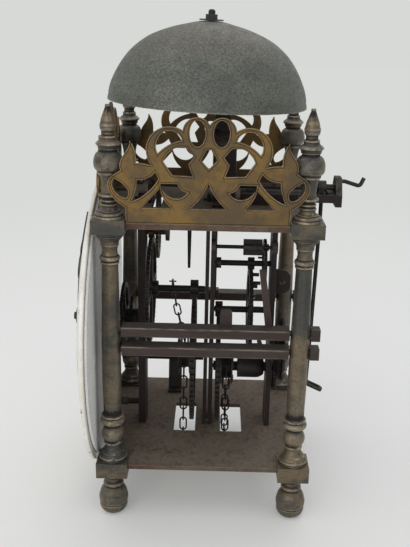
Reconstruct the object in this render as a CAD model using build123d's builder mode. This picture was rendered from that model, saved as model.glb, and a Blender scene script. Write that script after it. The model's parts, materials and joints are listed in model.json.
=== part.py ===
# A weight-driven lantern clock: an open four-pillar frame with pierced frets and a bell on top, a going train in
# front, a strike train behind it, and a large domed dial with one hour hand.
# Millimetres. X runs across the clock, -Y is the dial side, +Z is up. The origin is on the floor, midway
# between the four feet.
import os
from math import acos, atan2, cos, degrees, hypot, pi, radians, sin, sqrt

from build123d import *

os.makedirs("parts", exist_ok=True)

# ---------------------------------------------------------------- frame
post_pitch = 140.0  # between pillar centres, both ways
foot_height = 34.5
block_width = 24.0  # square blocks at both ends of a pillar
low_block_height = 12.2
high_block_height = 10.5
pillar_length = 205.0  # from the feet to the finials
shaft_radius = 7.1
finial_height = 78.5
spigot_radius = 3.0
spigot_length = 22.0
plate_margin = 9.0  # from the pillar centres to a plate's edge
low_plate_thickness = 3.5
high_plate_thickness = 4.0
low_plate_rise = 7.0  # from the top of the feet to the bottom plate
high_plate_drop = 6.5  # from the underside of the finials to the top plate's underside
seat_gap = 0.1  # between a plate's corner and the pillar's slot

# ---------------------------------------------------------------- movement bars, each as (front face, thickness)
front_bar_inset, front_bar_depth = 14.4, 6.0  # behind the front pillars' centres
middle_front_y, middle_front_depth = -1.5, 3.0
middle_rear_y, middle_rear_depth = 2.7, 3.6
rear_bar_inset, rear_bar_depth = 19.2, 4.3  # before the rear pillars' centres
bar_width = 22.0
tenon_width = 8.0
tenon_rise = 6.0  # how far a tenon stands above the top plate
rear_tenon_rise = 2.4  # the rear bar's tenon ends under the back cock
wedge_size = 2.4

# ---------------------------------------------------------------- running fits
pivot_radius = 1.8
pivot_clearance = 0.05
end_shake = 0.4  # between an arbor's shoulder and its bar

# ---------------------------------------------------------------- going train
great_axis_drop = 129.0  # each axis below the top plate's underside
second_axis_drop = 70.0
escape_axis_drop = 22.5
pallet_axis_rise = 13.0  # above the top plate
great_teeth, second_leaves = 64, 8
second_teeth, escape_leaves = 60, 6
escape_teeth, escape_tip_radius = 34, 21.0
great_wheel_y, great_wheel_depth = -12.0, 3.4
second_wheel_gap, second_wheel_depth = 8.4, 2.8  # gaps from the front bar's front face
escape_wheel_gap, escape_wheel_depth = 14.6, 2.2
pallet_clearance = 0.4  # left between a pallet and the escape wheel's tips at full swing
crutch_swing = 3.0  # degrees each way

# ---------------------------------------------------------------- motion work and dial
hour_axis_drop = 96.0  # below the top plate's underside
motion_leaves, hour_teeth = 8, 64
hour_wheel_stand, hour_wheel_depth = 11.4, 2.4  # before the front bar
star_wheel_stand, star_wheel_depth, star_radius = 7.8, 2.8, 17.0
hour_stud_radius = 3.0
pipe_wall = 1.5
dial_radius = 116.0
dial_rise = 16.5  # how far the dome stands out from its rim
dial_edge = 3.0  # depth of the rim's straight edge
dial_wall = 2.2
dial_stand = 14.0  # from the front pillars' centres to the back of the rim
dial_plate_radius = 110.0
dial_plate_depth = 1.8
hand_length = 89.0
hand_clearance = 1.6  # between the hand and the dome
hand_wall = 1.4

# ---------------------------------------------------------------- strike train
strike_axis_drop = 138.0  # each axis below the top plate's underside
pin_axis_drop = 87.0
warning_axis_drop = 47.0
fly_axis_x, fly_axis_drop = 13.5, 29.6
strike_teeth, pin_leaves = 64, 8
pin_teeth, warning_leaves = 56, 7
warning_teeth, fly_leaves = 48, 6
strike_wheel_y, strike_wheel_depth = 8.6, 3.4
pin_wheel_gap, pin_wheel_depth = 17.0, 3.0  # gaps from the rear bar's front face
warning_wheel_gap, warning_wheel_depth = 5.8, 2.2
lifting_pins, pin_circle, pin_radius, pin_length = 8, 29.0, 1.5, 6.0
fly_half_width, fly_front_gap, fly_back_gap = 6.3, 22.8, 7.8
count_axis_x, count_axis_drop = 30.0, 108.0
count_driver_teeth, count_teeth = 32, 39
count_disc_radius = 26.0
blows = 78  # struck in twelve hours

# ---------------------------------------------------------------- side arbors, turning in the pillars
side_arbor_depth = 13.0  # across the clock
side_arbor_height = 7.5
side_pivot_radius = 2.2
detent_axis_drop = 79.0  # below the top plate's underside
lifting_axis_drop = 94.0
hammer_axis_drop = 99.0
side_arbor_gap = 1.0  # between a bar's end and the pillar
end_block = 9.0  # square on a pivot's end behind the rear pillar
end_block_length = 6.6

# ---------------------------------------------------------------- chains
link_length, link_width, link_wire = 12.5, 6.6, 1.3
link_play = 0.3
chain_radius = 15.0  # of the chain's centre line on its wheel
sprocket_radius, sprocket_groove, sprocket_width = 15.5, 9.6, 10.0

# ---------------------------------------------------------------- frets
fret_stand = 6.8  # from the pillar centres to a fret's back
fret_thickness = 2.0

# ---------------------------------------------------------------- bell
bell_rim_radius = 75.7
bell_height = 59.5
bell_wall = 2.4
bell_rim_y, bell_rim_rise = -3.1, 76.5  # the rim stands this far above the top plate
bell_lean = 1.9  # degrees, towards the back
bell_stud_radius = 2.6
bell_stud_top = 67.5  # above the rim

# ---------------------------------------------------------------- back cock, hook and crutch
cock_half_width, cock_thickness, cock_lift = 12.5, 6.0, 3.0
cock_front_inset, cock_overhang = 45.0, 33.0  # from the rear pillars' centres
cock_tab_depth = 5.0
cock_tab_rise = 21.5  # above the top plate
hook_rise, hook_radius = 18.0, 1.6
crutch_overhang = 18.5  # behind the rear pillars' centres
crutch_foot_drop = 153.0  # below the top plate's underside

# ---------------------------------------------------------------- worked out from the sizes above
half_pitch = post_pitch / 2
pillar_top = foot_height + pillar_length
low_plate_z = foot_height + low_plate_rise
low_plate_top = low_plate_z + low_plate_thickness
high_plate_z = pillar_top - high_plate_drop
high_plate_top = high_plate_z + high_plate_thickness
plate_half = half_pitch + plate_margin
fret_seat = half_pitch + fret_stand
great_axis_z = high_plate_z - great_axis_drop
second_axis_z = high_plate_z - second_axis_drop
escape_axis_z = high_plate_z - escape_axis_drop
pallet_axis_z = high_plate_top + pallet_axis_rise
hour_axis_z = high_plate_z - hour_axis_drop
strike_axis_z = high_plate_z - strike_axis_drop
pin_axis_z = high_plate_z - pin_axis_drop
warning_axis_z = high_plate_z - warning_axis_drop
fly_axis_z = high_plate_z - fly_axis_drop
count_axis_z = high_plate_z - count_axis_drop
detent_axis_z = high_plate_z - detent_axis_drop
lifting_axis_z = high_plate_z - lifting_axis_drop
hammer_axis_z = high_plate_z - hammer_axis_drop
bell_rim_z = high_plate_top + bell_rim_rise
cock_tab_top = high_plate_top + cock_tab_rise
hook_z = high_plate_top + hook_rise
crutch_foot_z = high_plate_z - crutch_foot_drop
front_bar_y = -half_pitch + front_bar_inset
rear_bar_y = half_pitch - rear_bar_inset
second_wheel_y = front_bar_y + second_wheel_gap
escape_wheel_y = front_bar_y + escape_wheel_gap
hour_wheel_y = front_bar_y - hour_wheel_stand
star_wheel_y = front_bar_y - star_wheel_stand
dial_seat_y = -half_pitch - dial_stand
pin_wheel_y = rear_bar_y - pin_wheel_gap
warning_wheel_y = rear_bar_y - warning_wheel_gap
fly_front_y = rear_bar_y - fly_front_gap
fly_back_y = rear_bar_y - fly_back_gap
cock_front_y = half_pitch - cock_front_inset
cock_back_y = half_pitch + cock_overhang
crutch_y = half_pitch + crutch_overhang
corners = {
    "front_left": (-half_pitch, -half_pitch),
    "front_right": (half_pitch, -half_pitch),
    "rear_left": (-half_pitch, half_pitch),
    "rear_right": (half_pitch, half_pitch),
}
pivot_hole = pivot_radius + pivot_clearance
side_pivot_hole = side_pivot_radius + pivot_clearance


def save(piece, name):
    piece.part.label = name
    export_step(piece.part, f"parts/{name}.step")


def front_view(x, y, z):
    # a plane seen from the dial side, with its back at y: local X is X, local Y is Z, extrude grows forward
    return Plane(origin=(x, y, z), x_dir=(1, 0, 0), z_dir=(0, -1, 0))


def side_view(x, y, z):
    # a plane seen from the right: local X is Y, local Y is Z, extrude grows outward
    return Plane(origin=(x, y, z), x_dir=(0, 1, 0), z_dir=(1, 0, 0))


def outline(points):
    # closed outline through (across, up) points; a third number bows the run to the next point by that much
    with BuildLine() as line:
        for start, end in zip(points, points[1:] + points[:1]):
            if len(start) == 3:
                SagittaArc(start[:2], end[:2], start[2])
            else:
                Line(start[:2], end[:2])
    return line.line


def turned(points, plane):
    # a lathe-turned solid about the plane's local Y axis; points are (radius, height)
    with BuildPart() as piece:
        with BuildSketch(plane):
            with BuildLine():
                add(outline([(0, points[0][1])] + points + [(0, points[-1][1])]))
            make_face()
        revolve(axis=Axis(plane.origin, plane.y_dir))
    return piece.part


def rods(x, z, runs):
    # stepped round bar along Y; each run is (front y, back y, radius)
    with BuildPart() as piece:
        for front, back, radius in runs:
            with BuildSketch(front_view(x, back, z)):
                Circle(radius)
            extrude(amount=back - front)
    return piece.part


def toothed(teeth, root, tip, root_share, tip_share, first):
    # points of a toothed outline: each tooth stands on root_share of the pitch and narrows to tip_share
    step = 2 * pi / teeth
    points = []
    for k in range(teeth):
        middle = radians(first) + k * step
        for radius, share in ((root, -root_share), (tip, -tip_share), (tip, tip_share), (root, root_share)):
            angle = middle + share * step / 2
            points.append((radius * cos(angle), radius * sin(angle)))
    return points


def gear_sizes(distance, teeth, leaves):
    # pitch radii of a wheel and its pinion from their centre distance, and their module
    module = 2 * distance / (teeth + leaves)
    return module * teeth / 2, module * leaves / 2, module


def wheel_face(teeth, pitch, module, first, rim, hub, arms, arm_width, hole=0.0, turn=0.0):
    # a crossed-out wheel: toothed rim, straight arms and a hub
    with BuildSketch() as face:
        with BuildLine():
            Polyline(*toothed(teeth, pitch - 0.95 * module, pitch + 0.55 * module, 0.46, 0.24, first),
                     close=True)
        make_face()
        inner = pitch - 0.95 * module - rim
        Circle(inner, mode=Mode.SUBTRACT)
        Circle(hub)
        with PolarLocations((inner + hub) / 2, arms, start_angle=turn):
            Rectangle(inner - hub + 2, arm_width)
        if hole:
            Circle(hole, mode=Mode.SUBTRACT)
    return face.sketch


def pinion_face(leaves, pitch, module, first, hole=0.0):
    with BuildSketch() as face:
        with BuildLine():
            Polyline(*toothed(leaves, pitch - 1.15 * module, pitch + 0.5 * module, 0.34, 0.2, first),
                     close=True)
        make_face()
        if hole:
            Circle(hole, mode=Mode.SUBTRACT)
    return face.sketch


def slab(face, plane, depth):
    # a flat face laid on a plane and given its thickness
    with BuildPart() as piece:
        with BuildSketch(plane):
            add(face)
        extrude(amount=depth)
    return piece.part


def box(x, y, z):
    # a block from its (low, high) extents
    with BuildPart() as piece:
        with BuildSketch(Plane.XY.offset(z[0])):
            with Locations(((x[0] + x[1]) / 2, (y[0] + y[1]) / 2)):
                Rectangle(x[1] - x[0], y[1] - y[0])
        extrude(amount=z[1] - z[0])
    return piece.part


# ================================================================ feet, pillars and finials
# profiles as (radius, height), from the bottom up; the third number bows a run outwards or inwards
foot_profile = [
    (5.5, 0), (6.5, 0, -1.5), (10.9, 7.6), (10.4, 8.0), (10.4, 8.3), (10.9, 8.7, -0.7), (10.6, 16.2, -0.8),
    (7.0, 22.4), (6.7, 23.0), (7.4, 23.4, -0.6), (7.4, 26.0), (6.4, 26.6, 0.4), (5.1, 29.0), (5.1, 30.0),
    (6.6, 31.2), (8.4, 31.8), (8.8, 32.4), (8.8, foot_height),
    (spigot_radius, foot_height), (spigot_radius, foot_height + spigot_length),
]
shaft_foot = foot_height + low_block_height
shaft_head = pillar_top - high_block_height
mid_shaft = (shaft_foot + shaft_head) / 2
pillar_profile = [
    # stepped flare on the lower block
    (11.4, shaft_foot - 1), (11.4, shaft_foot + 1.0), (10.9, shaft_foot + 1.6, -0.3),
    (10.6, shaft_foot + 3.4), (9.8, shaft_foot + 3.8), (9.6, shaft_foot + 4.4, 0.25),
    (8.9, shaft_foot + 6.2), (8.3, shaft_foot + 6.6), (8.1, shaft_foot + 7.2, 0.7),
    (6.0, shaft_foot + 12.6), (6.0, shaft_foot + 13.0), (6.8, shaft_foot + 13.4),
    (6.8, shaft_foot + 14.6), (6.1, shaft_foot + 15.2),
    # bulb, neck, torus and the ring under the shaft
    (6.2, shaft_foot + 15.8, -2.3), (6.0, shaft_foot + 27.4), (5.7, shaft_foot + 28.0),
    (5.7, shaft_foot + 29.2), (7.0, shaft_foot + 29.8, -2.3), (7.0, shaft_foot + 35.4),
    (6.6, shaft_foot + 35.8), (8.3, shaft_foot + 36.2), (8.3, shaft_foot + 37.6),
    (6.7, shaft_foot + 38.4), (6.8, shaft_foot + 48.0, -0.2),
    (shaft_radius, mid_shaft - 6.0, -0.1), (shaft_radius - 0.1, mid_shaft + 16.0),
    # astragal, ring, necking and the flare under the upper block
    (5.9, shaft_head - 24.6), (5.9, shaft_head - 24.0), (6.8, shaft_head - 23.6),
    (6.8, shaft_head - 22.2), (6.1, shaft_head - 21.8), (6.3, shaft_head - 21.4, -1.2),
    (6.3, shaft_head - 17.8), (5.9, shaft_head - 17.4), (5.9, shaft_head - 16.8, 0.5),
    (5.9, shaft_head - 10.8), (6.5, shaft_head - 10.2), (6.5, shaft_head - 9.4, 0.8),
    (9.0, shaft_head - 4.4), (9.0, shaft_head - 3.8), (9.9, shaft_head - 3.2),
    (9.9, shaft_head - 1.8), (10.4, shaft_head - 1.4), (10.4, shaft_head + 1),
]
finial_profile = [
    # stepped base and two rings
    (spigot_radius, pillar_top - spigot_length), (spigot_radius, pillar_top), (11.0, pillar_top),
    (10.8, pillar_top + 1.4), (10.0, pillar_top + 2.0, -0.4), (9.4, pillar_top + 4.0),
    (8.0, pillar_top + 4.4), (7.8, pillar_top + 5.2, 0.9), (5.6, pillar_top + 8.2),
    (5.9, pillar_top + 8.6, -0.3), (5.9, pillar_top + 10.0), (5.1, pillar_top + 10.4),
    (5.1, pillar_top + 11.0), (5.6, pillar_top + 11.4, -0.3), (5.6, pillar_top + 12.8),
    (4.9, pillar_top + 13.2), (4.9, pillar_top + 14.4),
    # lip and vase
    (6.9, pillar_top + 15.4), (7.3, pillar_top + 16.0), (7.3, pillar_top + 16.8),
    (6.0, pillar_top + 17.4, 0.3), (5.2, pillar_top + 19.4, 0.4), (6.5, pillar_top + 29.6),
    (7.6, pillar_top + 31.2), (7.8, pillar_top + 31.8), (7.8, pillar_top + 32.6),
    # ball
    (8.0, pillar_top + 33.2, -0.5), (10.3, pillar_top + 36.8, -0.4), (9.6, pillar_top + 43.2, -0.5),
    (6.6, pillar_top + 46.6),
    # spreading collar and the spike
    (6.2, pillar_top + 47.0), (6.2, pillar_top + 47.8), (7.0, pillar_top + 48.2, 0.4),
    (8.4, pillar_top + 51.2), (8.7, pillar_top + 51.6), (8.7, pillar_top + 52.2),
    (7.2, pillar_top + 53.6, 0.4), (5.4, pillar_top + 55.8), (5.6, pillar_top + 56.2),
    (5.6, pillar_top + 57.2), (4.4, pillar_top + 57.8), (4.2, pillar_top + 59.6),
    (4.4, pillar_top + 60.4, -0.4), (5.5, pillar_top + 63.4, -0.3), (5.2, pillar_top + 66.0),
    (4.6, pillar_top + 69.0), (1.6, pillar_top + finial_height - 1.6, -0.8),
    (0.3, pillar_top + finial_height),
]

for place, (x, y) in corners.items():
    with BuildPart() as foot:
        add(turned(foot_profile, front_view(x, y, 0)))
    save(foot, f"foot_{place}")

    with BuildPart() as pillar:
        add(turned(pillar_profile, front_view(x, y, 0)))
        for base, height in ((foot_height, low_block_height), (shaft_head, high_block_height)):
            with BuildSketch(Plane.XY.offset(base)):
                with Locations((x, y)):
                    Rectangle(block_width, block_width)
            extrude(amount=height)
        # slots for the corners of the two plates
        for base, height in ((low_plate_z, low_plate_thickness), (high_plate_z, high_plate_thickness)):
            with BuildSketch(Plane.XY.offset(base)):
                Rectangle(2 * (plate_half + seat_gap), 2 * (plate_half + seat_gap))
            extrude(amount=height, mode=Mode.SUBTRACT)
        # blind holes for the foot's and the finial's screwed spigots
        for base, height in ((foot_height, spigot_length + 1),
                             (pillar_top - spigot_length - 1, spigot_length + 1)):
            with BuildSketch(Plane.XY.offset(base)):
                with Locations((x, y)):
                    Circle(spigot_radius + pivot_clearance)
            extrude(amount=height, mode=Mode.SUBTRACT)
        # pivot holes of the side arbors: through a rear pillar, blind in a front one
        axes = (hammer_axis_z,) if x < 0 else (detent_axis_z, lifting_axis_z)
        for height in axes:
            far_end = half_pitch + 2 * shaft_radius if y > 0 else -half_pitch + 2 * shaft_radius
            depth = 4 * shaft_radius if y > 0 else 2 * shaft_radius + 2.0
            with BuildSketch(front_view(x, far_end, height)):
                Circle(side_pivot_hole)
            extrude(amount=depth, mode=Mode.SUBTRACT)
    save(pillar, f"pillar_{place}")

    with BuildPart() as finial:
        add(turned(finial_profile, front_view(x, y, 0)))
    save(finial, f"finial_{place}")

# ================================================================ bottom and top plates
bars = {
    "front_bar": (front_bar_y, front_bar_depth),
    "middle_front_bar": (middle_front_y, middle_front_depth),
    "middle_rear_bar": (middle_rear_y, middle_rear_depth),
    "rear_bar": (rear_bar_y, rear_bar_depth),
}
chain_hole_length, chain_hole_width = 50.0, 18.0
chain_holes = ((-3.0, -16.5), (-3.0, 22.7))  # centres of the two chain holes
pallet_slot_half, pallet_slot_width = 26.0, 7.0
hammer_slot = (-half_pitch + 2.0, -40.0)
hammer_y, hammer_slot_width = 5.6, 9.0


with BuildPart() as bottom_plate:
    with BuildSketch(Plane.XY.offset(low_plate_z)):
        Rectangle(2 * plate_half, 2 * plate_half)
        with GridLocations(post_pitch, post_pitch, 2, 2):
            Circle(spigot_radius + pivot_clearance, mode=Mode.SUBTRACT)
        for y, depth in bars.values():
            with Locations((0, y + depth / 2)):
                Rectangle(tenon_width + 2 * seat_gap, depth + 2 * seat_gap, mode=Mode.SUBTRACT)
        with Locations(*chain_holes):
            Rectangle(chain_hole_length, chain_hole_width, mode=Mode.SUBTRACT)
    extrude(amount=low_plate_thickness)
save(bottom_plate, "bottom_plate")

with BuildPart() as top_plate:
    with BuildSketch(Plane.XY.offset(high_plate_z)):
        Rectangle(2 * plate_half, 2 * plate_half)
        with GridLocations(post_pitch, post_pitch, 2, 2):
            Circle(spigot_radius + pivot_clearance, mode=Mode.SUBTRACT)
        for y, depth in bars.values():
            with Locations((0, y + depth / 2)):
                Rectangle(tenon_width + 2 * seat_gap, depth + 2 * seat_gap, mode=Mode.SUBTRACT)
        with Locations((0, escape_wheel_y + escape_wheel_depth / 2)):
            Rectangle(2 * pallet_slot_half, pallet_slot_width, mode=Mode.SUBTRACT)
        with Locations((sum(hammer_slot) / 2, hammer_y)):
            Rectangle(hammer_slot[1] - hammer_slot[0], hammer_slot_width, mode=Mode.SUBTRACT)
    extrude(amount=high_plate_thickness)
save(top_plate, "top_plate")

# ================================================================ movement bars and their wedges
bar_pivots = {  # heights of the pivot holes in each bar, each as (x, z)
    "front_bar": [(0, great_axis_z), (0, second_axis_z), (0, escape_axis_z)],
    "middle_front_bar": [(0, great_axis_z), (0, second_axis_z)],
    "middle_rear_bar": [(0, strike_axis_z), (0, pin_axis_z), (0, warning_axis_z), (fly_axis_x, fly_axis_z)],
    "rear_bar": [(0, pin_axis_z), (0, warning_axis_z), (fly_axis_x, fly_axis_z)],
}
fly_ear = 5.0  # radius of the ear that carries the fly's pivot beside a bar
hour_stud_front = dial_seat_y - 25.5
hour_stud_clearance = 0.05
great_front_radius = 2.6  # the great arbor where it passes through the front bar
strike_back_radius = 3.0  # the strike great arbor where it passes through the rear bar
dial_foot_radius = 2.6
dial_foot_heights = (60.0, 221.0)
dial_foot_root = front_bar_y - 10.4  # the dial's feet meet their posts on the front bar here
count_stud_radius = 2.4
count_disc_y, count_disc_depth = rear_bar_y + 8.8, 1.8
count_gear_y, count_gear_depth = rear_bar_y + 5.8, 2.2
rear_lug = {"y": 13.0, "z": (160.0, 180.0), "depth": 4.0, "hole": 2.2}

for name, (front, depth) in bars.items():
    back = front + depth
    with BuildPart() as bar:
        with BuildSketch(front_view(0, back, 0)):
            with Locations((0, (low_plate_top + high_plate_z) / 2)):
                Rectangle(bar_width, high_plate_z - low_plate_top)
            rise = rear_tenon_rise if name == "rear_bar" else tenon_rise
            with Locations((0, (low_plate_z + high_plate_top + rise) / 2)):
                Rectangle(tenon_width, high_plate_top + rise - low_plate_z)
            for x, z in bar_pivots[name]:
                if x:
                    with Locations((x, z)):
                        Circle(fly_ear)
            with Locations(*bar_pivots[name]):
                Circle(pivot_hole, mode=Mode.SUBTRACT)
            if name == "front_bar":
                with Locations((0, great_axis_z)):
                    Circle(great_front_radius + pivot_clearance, mode=Mode.SUBTRACT)
            if name == "rear_bar":
                with Locations((0, strike_axis_z)):
                    Circle(strike_back_radius + pivot_clearance, mode=Mode.SUBTRACT)
        extrude(amount=depth)
        if name != "rear_bar":
            # the slot for the wedge, just above the top plate
            with BuildSketch(Plane.XY.offset(high_plate_top)):
                with Locations((0, front + depth / 2)):
                    Rectangle(wedge_size, depth)
            extrude(amount=wedge_size, mode=Mode.SUBTRACT)
        if name == "front_bar":
            add(rods(0, hour_axis_z, [(hour_stud_front, front, hour_stud_radius)]))
            for z in dial_foot_heights:
                add(rods(0, z, [(dial_foot_root, front, dial_foot_radius)]))
        if name == "rear_bar":
            # an arm out to the count wheel's stud, and the pierced lug behind the bar
            with BuildSketch(front_view(0, back, 0)):
                with Locations((count_axis_x, count_axis_z)):
                    Circle(fly_ear + 1)
                with Locations(((count_axis_x + 4) / 2, count_axis_z)):
                    Rectangle(count_axis_x - 4, 8)
            extrude(amount=depth)
            stud_end = count_disc_y + count_disc_depth + 2.4
            add(rods(count_axis_x, count_axis_z, [(back, stud_end, count_stud_radius)]))
            low, high = rear_lug["z"]
            with BuildSketch(side_view(-6, back, 0)):
                with BuildLine():
                    reach = rear_lug["y"]
                    add(outline([(0, low), (reach - 9, low, -3.6), (reach, low + 9), (reach, high - 9, -3.6),
                                 (reach - 9, high), (0, high)]))
                make_face()
                with Locations((reach / 2, (low + high) / 2)):
                    Circle(rear_lug["hole"], mode=Mode.SUBTRACT)
            extrude(amount=rear_lug["depth"])
    save(bar, name)

wedge_spans = (  # the two middle bars share one wedge
    (front_bar_y, front_bar_y + front_bar_depth),
    (middle_front_y, middle_rear_y + middle_rear_depth),
)
wedge_overhang = {"front": 3.2, "back": 1.2}
with BuildPart() as bar_wedges:
    for front, back in wedge_spans:
        with BuildSketch(Plane.XY.offset(high_plate_top)):
            with BuildLine():
                half = wedge_size / 2 - 0.05
                start, end = front - wedge_overhang["front"], back + wedge_overhang["back"]
                Polyline((-half, start), (half, start), (half * 0.8, end), (-half * 0.8, end), close=True)
            make_face()
        extrude(amount=wedge_size - 0.05)
save(bar_wedges, "bar_wedges")

# ================================================================ pierced frets
# right half of the outline and of each opening, as (across, up) from the middle of the foot rail
rail_height = 11.4
rail_half = half_pitch - 12.6


def fret_face():
    with BuildSketch() as face:
        with BuildLine():
            Line((0, 0), (rail_half, 0))
            Line((rail_half, 0), (rail_half, rail_height))
            Spline((rail_half, rail_height), (64.2, 16.4), (69.6, 24.8), (69.0, 30.8), (65.0, 34.8),
                   (60.8, 37.4))
            Spline((60.8, 37.4), (61.2, 42.2), (59.0, 47.4), (55.6, 52.6), (54.4, 57.8))
            Spline((54.4, 57.8), (52.0, 54.4), (50.4, 49.0), (50.2, 42.6))
            Spline((50.2, 42.6), (45.4, 42.4), (39.2, 41.2))
            ThreePointArc((39.2, 41.2), (39.2, 62.6), (18.4, 65.4))
            ThreePointArc((18.4, 65.4), (10.4, 74.2), (0, 69.4))
            Line((0, 69.4), (0, 0))
        make_face()
        # centre: the triangle between the two leaves, and the diamond above it
        with BuildLine():
            Line((0, rail_height), (0, 29.4))
            Spline((0, 29.4), (3.4, 22.2), (12.8, rail_height))
            Line((12.8, rail_height), (0, rail_height))
        make_face(mode=Mode.SUBTRACT)
        with BuildLine():
            Polyline((0, 39.4), (5.6, 45.6), (3.0, 50.4), (2.2, 52.6), (0, 52.6), (0, 39.4))
        make_face(mode=Mode.SUBTRACT)
        # top lobe
        with Locations((8.2, 63.6)):
            Ellipse(5.4, 9.0, mode=Mode.SUBTRACT)
        # scroll, open above its inner curl
        with BuildLine():
            Spline((18.8, 58.6), (23.4, 64.2), (30.4, 64.6), (35.2, 59.6), (35.2, 49.6))
            Spline((35.2, 49.6), (28.2, 55.2), (18.8, 58.6))
        make_face(mode=Mode.SUBTRACT)
        # leaf opening with its thorn
        with BuildLine():
            Spline((15.2, 53.6), (22.4, 53.6), (28.4, 49.6), (31.4, 44.0))
            Line((31.4, 44.0), (25.0, 34.8))
            Line((25.0, 34.8), (11.2, 34.2))
            Polyline((11.2, 34.2), (14.2, 42.4), (10.2, 47.4), (15.2, 53.6))
        make_face(mode=Mode.SUBTRACT)
        # half moon
        with BuildLine():
            Line((21.6, 28.8), (33.4, 28.8))
            Spline((33.4, 28.8), (30.6, 22.4), (24.2, 18.6), (14.4, 22.8))
            Spline((14.4, 22.8), (18.6, 24.6), (21.6, 28.8))
        make_face(mode=Mode.SUBTRACT)
        # triangle under the strut, and the gap between the strut and the side leaf
        with BuildLine():
            Spline((25.2, rail_height), (30.6, 17.4), (33.6, 25.4))
            Polyline((33.6, 25.4), (46.2, rail_height), (25.2, rail_height))
        make_face(mode=Mode.SUBTRACT)
        with BuildLine():
            Line((34.6, 32.0), (36.8, 36.6))
            Spline((36.8, 36.6), (42.2, 32.4), (49.4, 31.2))
            Spline((49.4, 31.2), (50.4, 24.2), (53.6, 15.6))
            Spline((53.6, 15.6), (48.4, 18.0), (34.6, 32.0))
        make_face(mode=Mode.SUBTRACT)
        # lens in the corner ring
        with BuildLine():
            Spline((65.2, 31.8), (66.4, 27.0), (62.6, 20.4), (56.8, 18.2))
            Spline((56.8, 18.2), (55.6, 23.4), (59.2, 28.0), (65.2, 31.8))
        make_face(mode=Mode.SUBTRACT)
        mirror(about=Plane.YZ)
    return face.sketch


fret_planes = {
    "fret_right": Plane(origin=(fret_seat, 0, high_plate_top), x_dir=(0, 1, 0), z_dir=(1, 0, 0)),
    "fret_left": Plane(origin=(-fret_seat, 0, high_plate_top), x_dir=(0, -1, 0), z_dir=(-1, 0, 0)),
    "fret_front": Plane(origin=(0, -fret_seat, high_plate_top), x_dir=(1, 0, 0), z_dir=(0, -1, 0)),
}
fret_tab = {"at": (-36.0, 36.0), "width": 9.0, "reach": 8.0, "thickness": 1.6, "rivet": 1.9, "head": 1.2}
pattern = fret_face()
for name, plane in fret_planes.items():
    with BuildPart() as fret:
        add(slab(pattern, plane, fret_thickness))
        # two tabs folded inwards onto the plate, each held by a rivet
        with BuildSketch(plane):
            with Locations(*[(across, fret_tab["thickness"] / 2) for across in fret_tab["at"]]):
                Rectangle(fret_tab["width"], fret_tab["thickness"])
        extrude(amount=-fret_tab["reach"])
        rivet_plane = Plane(origin=plane.origin, x_dir=plane.x_dir, z_dir=plane.y_dir)
        with BuildSketch(rivet_plane.offset(fret_tab["thickness"])):
            with Locations(*[(across, fret_tab["reach"] * 0.55) for across in fret_tab["at"]]):
                Circle(fret_tab["rivet"])
        extrude(amount=fret_tab["head"], taper=35)
    save(fret, name)

# ================================================================ bell on its stand
lean = radians(bell_lean)
bell_plane = Plane(origin=(0, bell_rim_y, bell_rim_z), x_dir=(1, 0, 0), z_dir=(0, -cos(lean), sin(lean)))
crown_hole = bell_stud_radius + 0.3
bell_curve = [  # outside of the bell as (share of the rim's radius, share of the height)
    (1.0, 0.0), (0.971, 0.2), (0.886, 0.42), (0.744, 0.598), (0.565, 0.745), (0.382, 0.857), (0.122, 0.988),
]
outside = [(radius * bell_rim_radius, height * bell_height) for radius, height in bell_curve]


def inside_of(points, wall):
    # the same curve moved inwards by the wall, square to its own run
    moved = []
    for k, (radius, height) in enumerate(points):
        before, after = points[max(k - 1, 0)], points[min(k + 1, len(points) - 1)]
        run, rise = after[0] - before[0], after[1] - before[1]
        size = hypot(run, rise)
        moved.append((radius - wall * rise / size, height + wall * run / size))
    return moved


inside = [(radius, max(height, 0)) for radius, height in inside_of(outside, bell_wall)]
inside[0] = (bell_rim_radius - bell_wall, 0)
crown_top = bell_height
crown_under = crown_top - bell_wall
with BuildPart() as bell:
    with BuildSketch(bell_plane):
        with BuildLine():
            Spline(*outside, (crown_hole, crown_top))
            Line((crown_hole, crown_top), (crown_hole, crown_under))
            Spline((crown_hole, crown_under), *reversed(inside))
            ThreePointArc(inside[0], (bell_rim_radius - bell_wall / 2, -bell_wall / 2), outside[0])
        make_face()
    revolve(axis=Axis(bell_plane.origin, bell_plane.y_dir))
save(bell, "bell")

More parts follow.
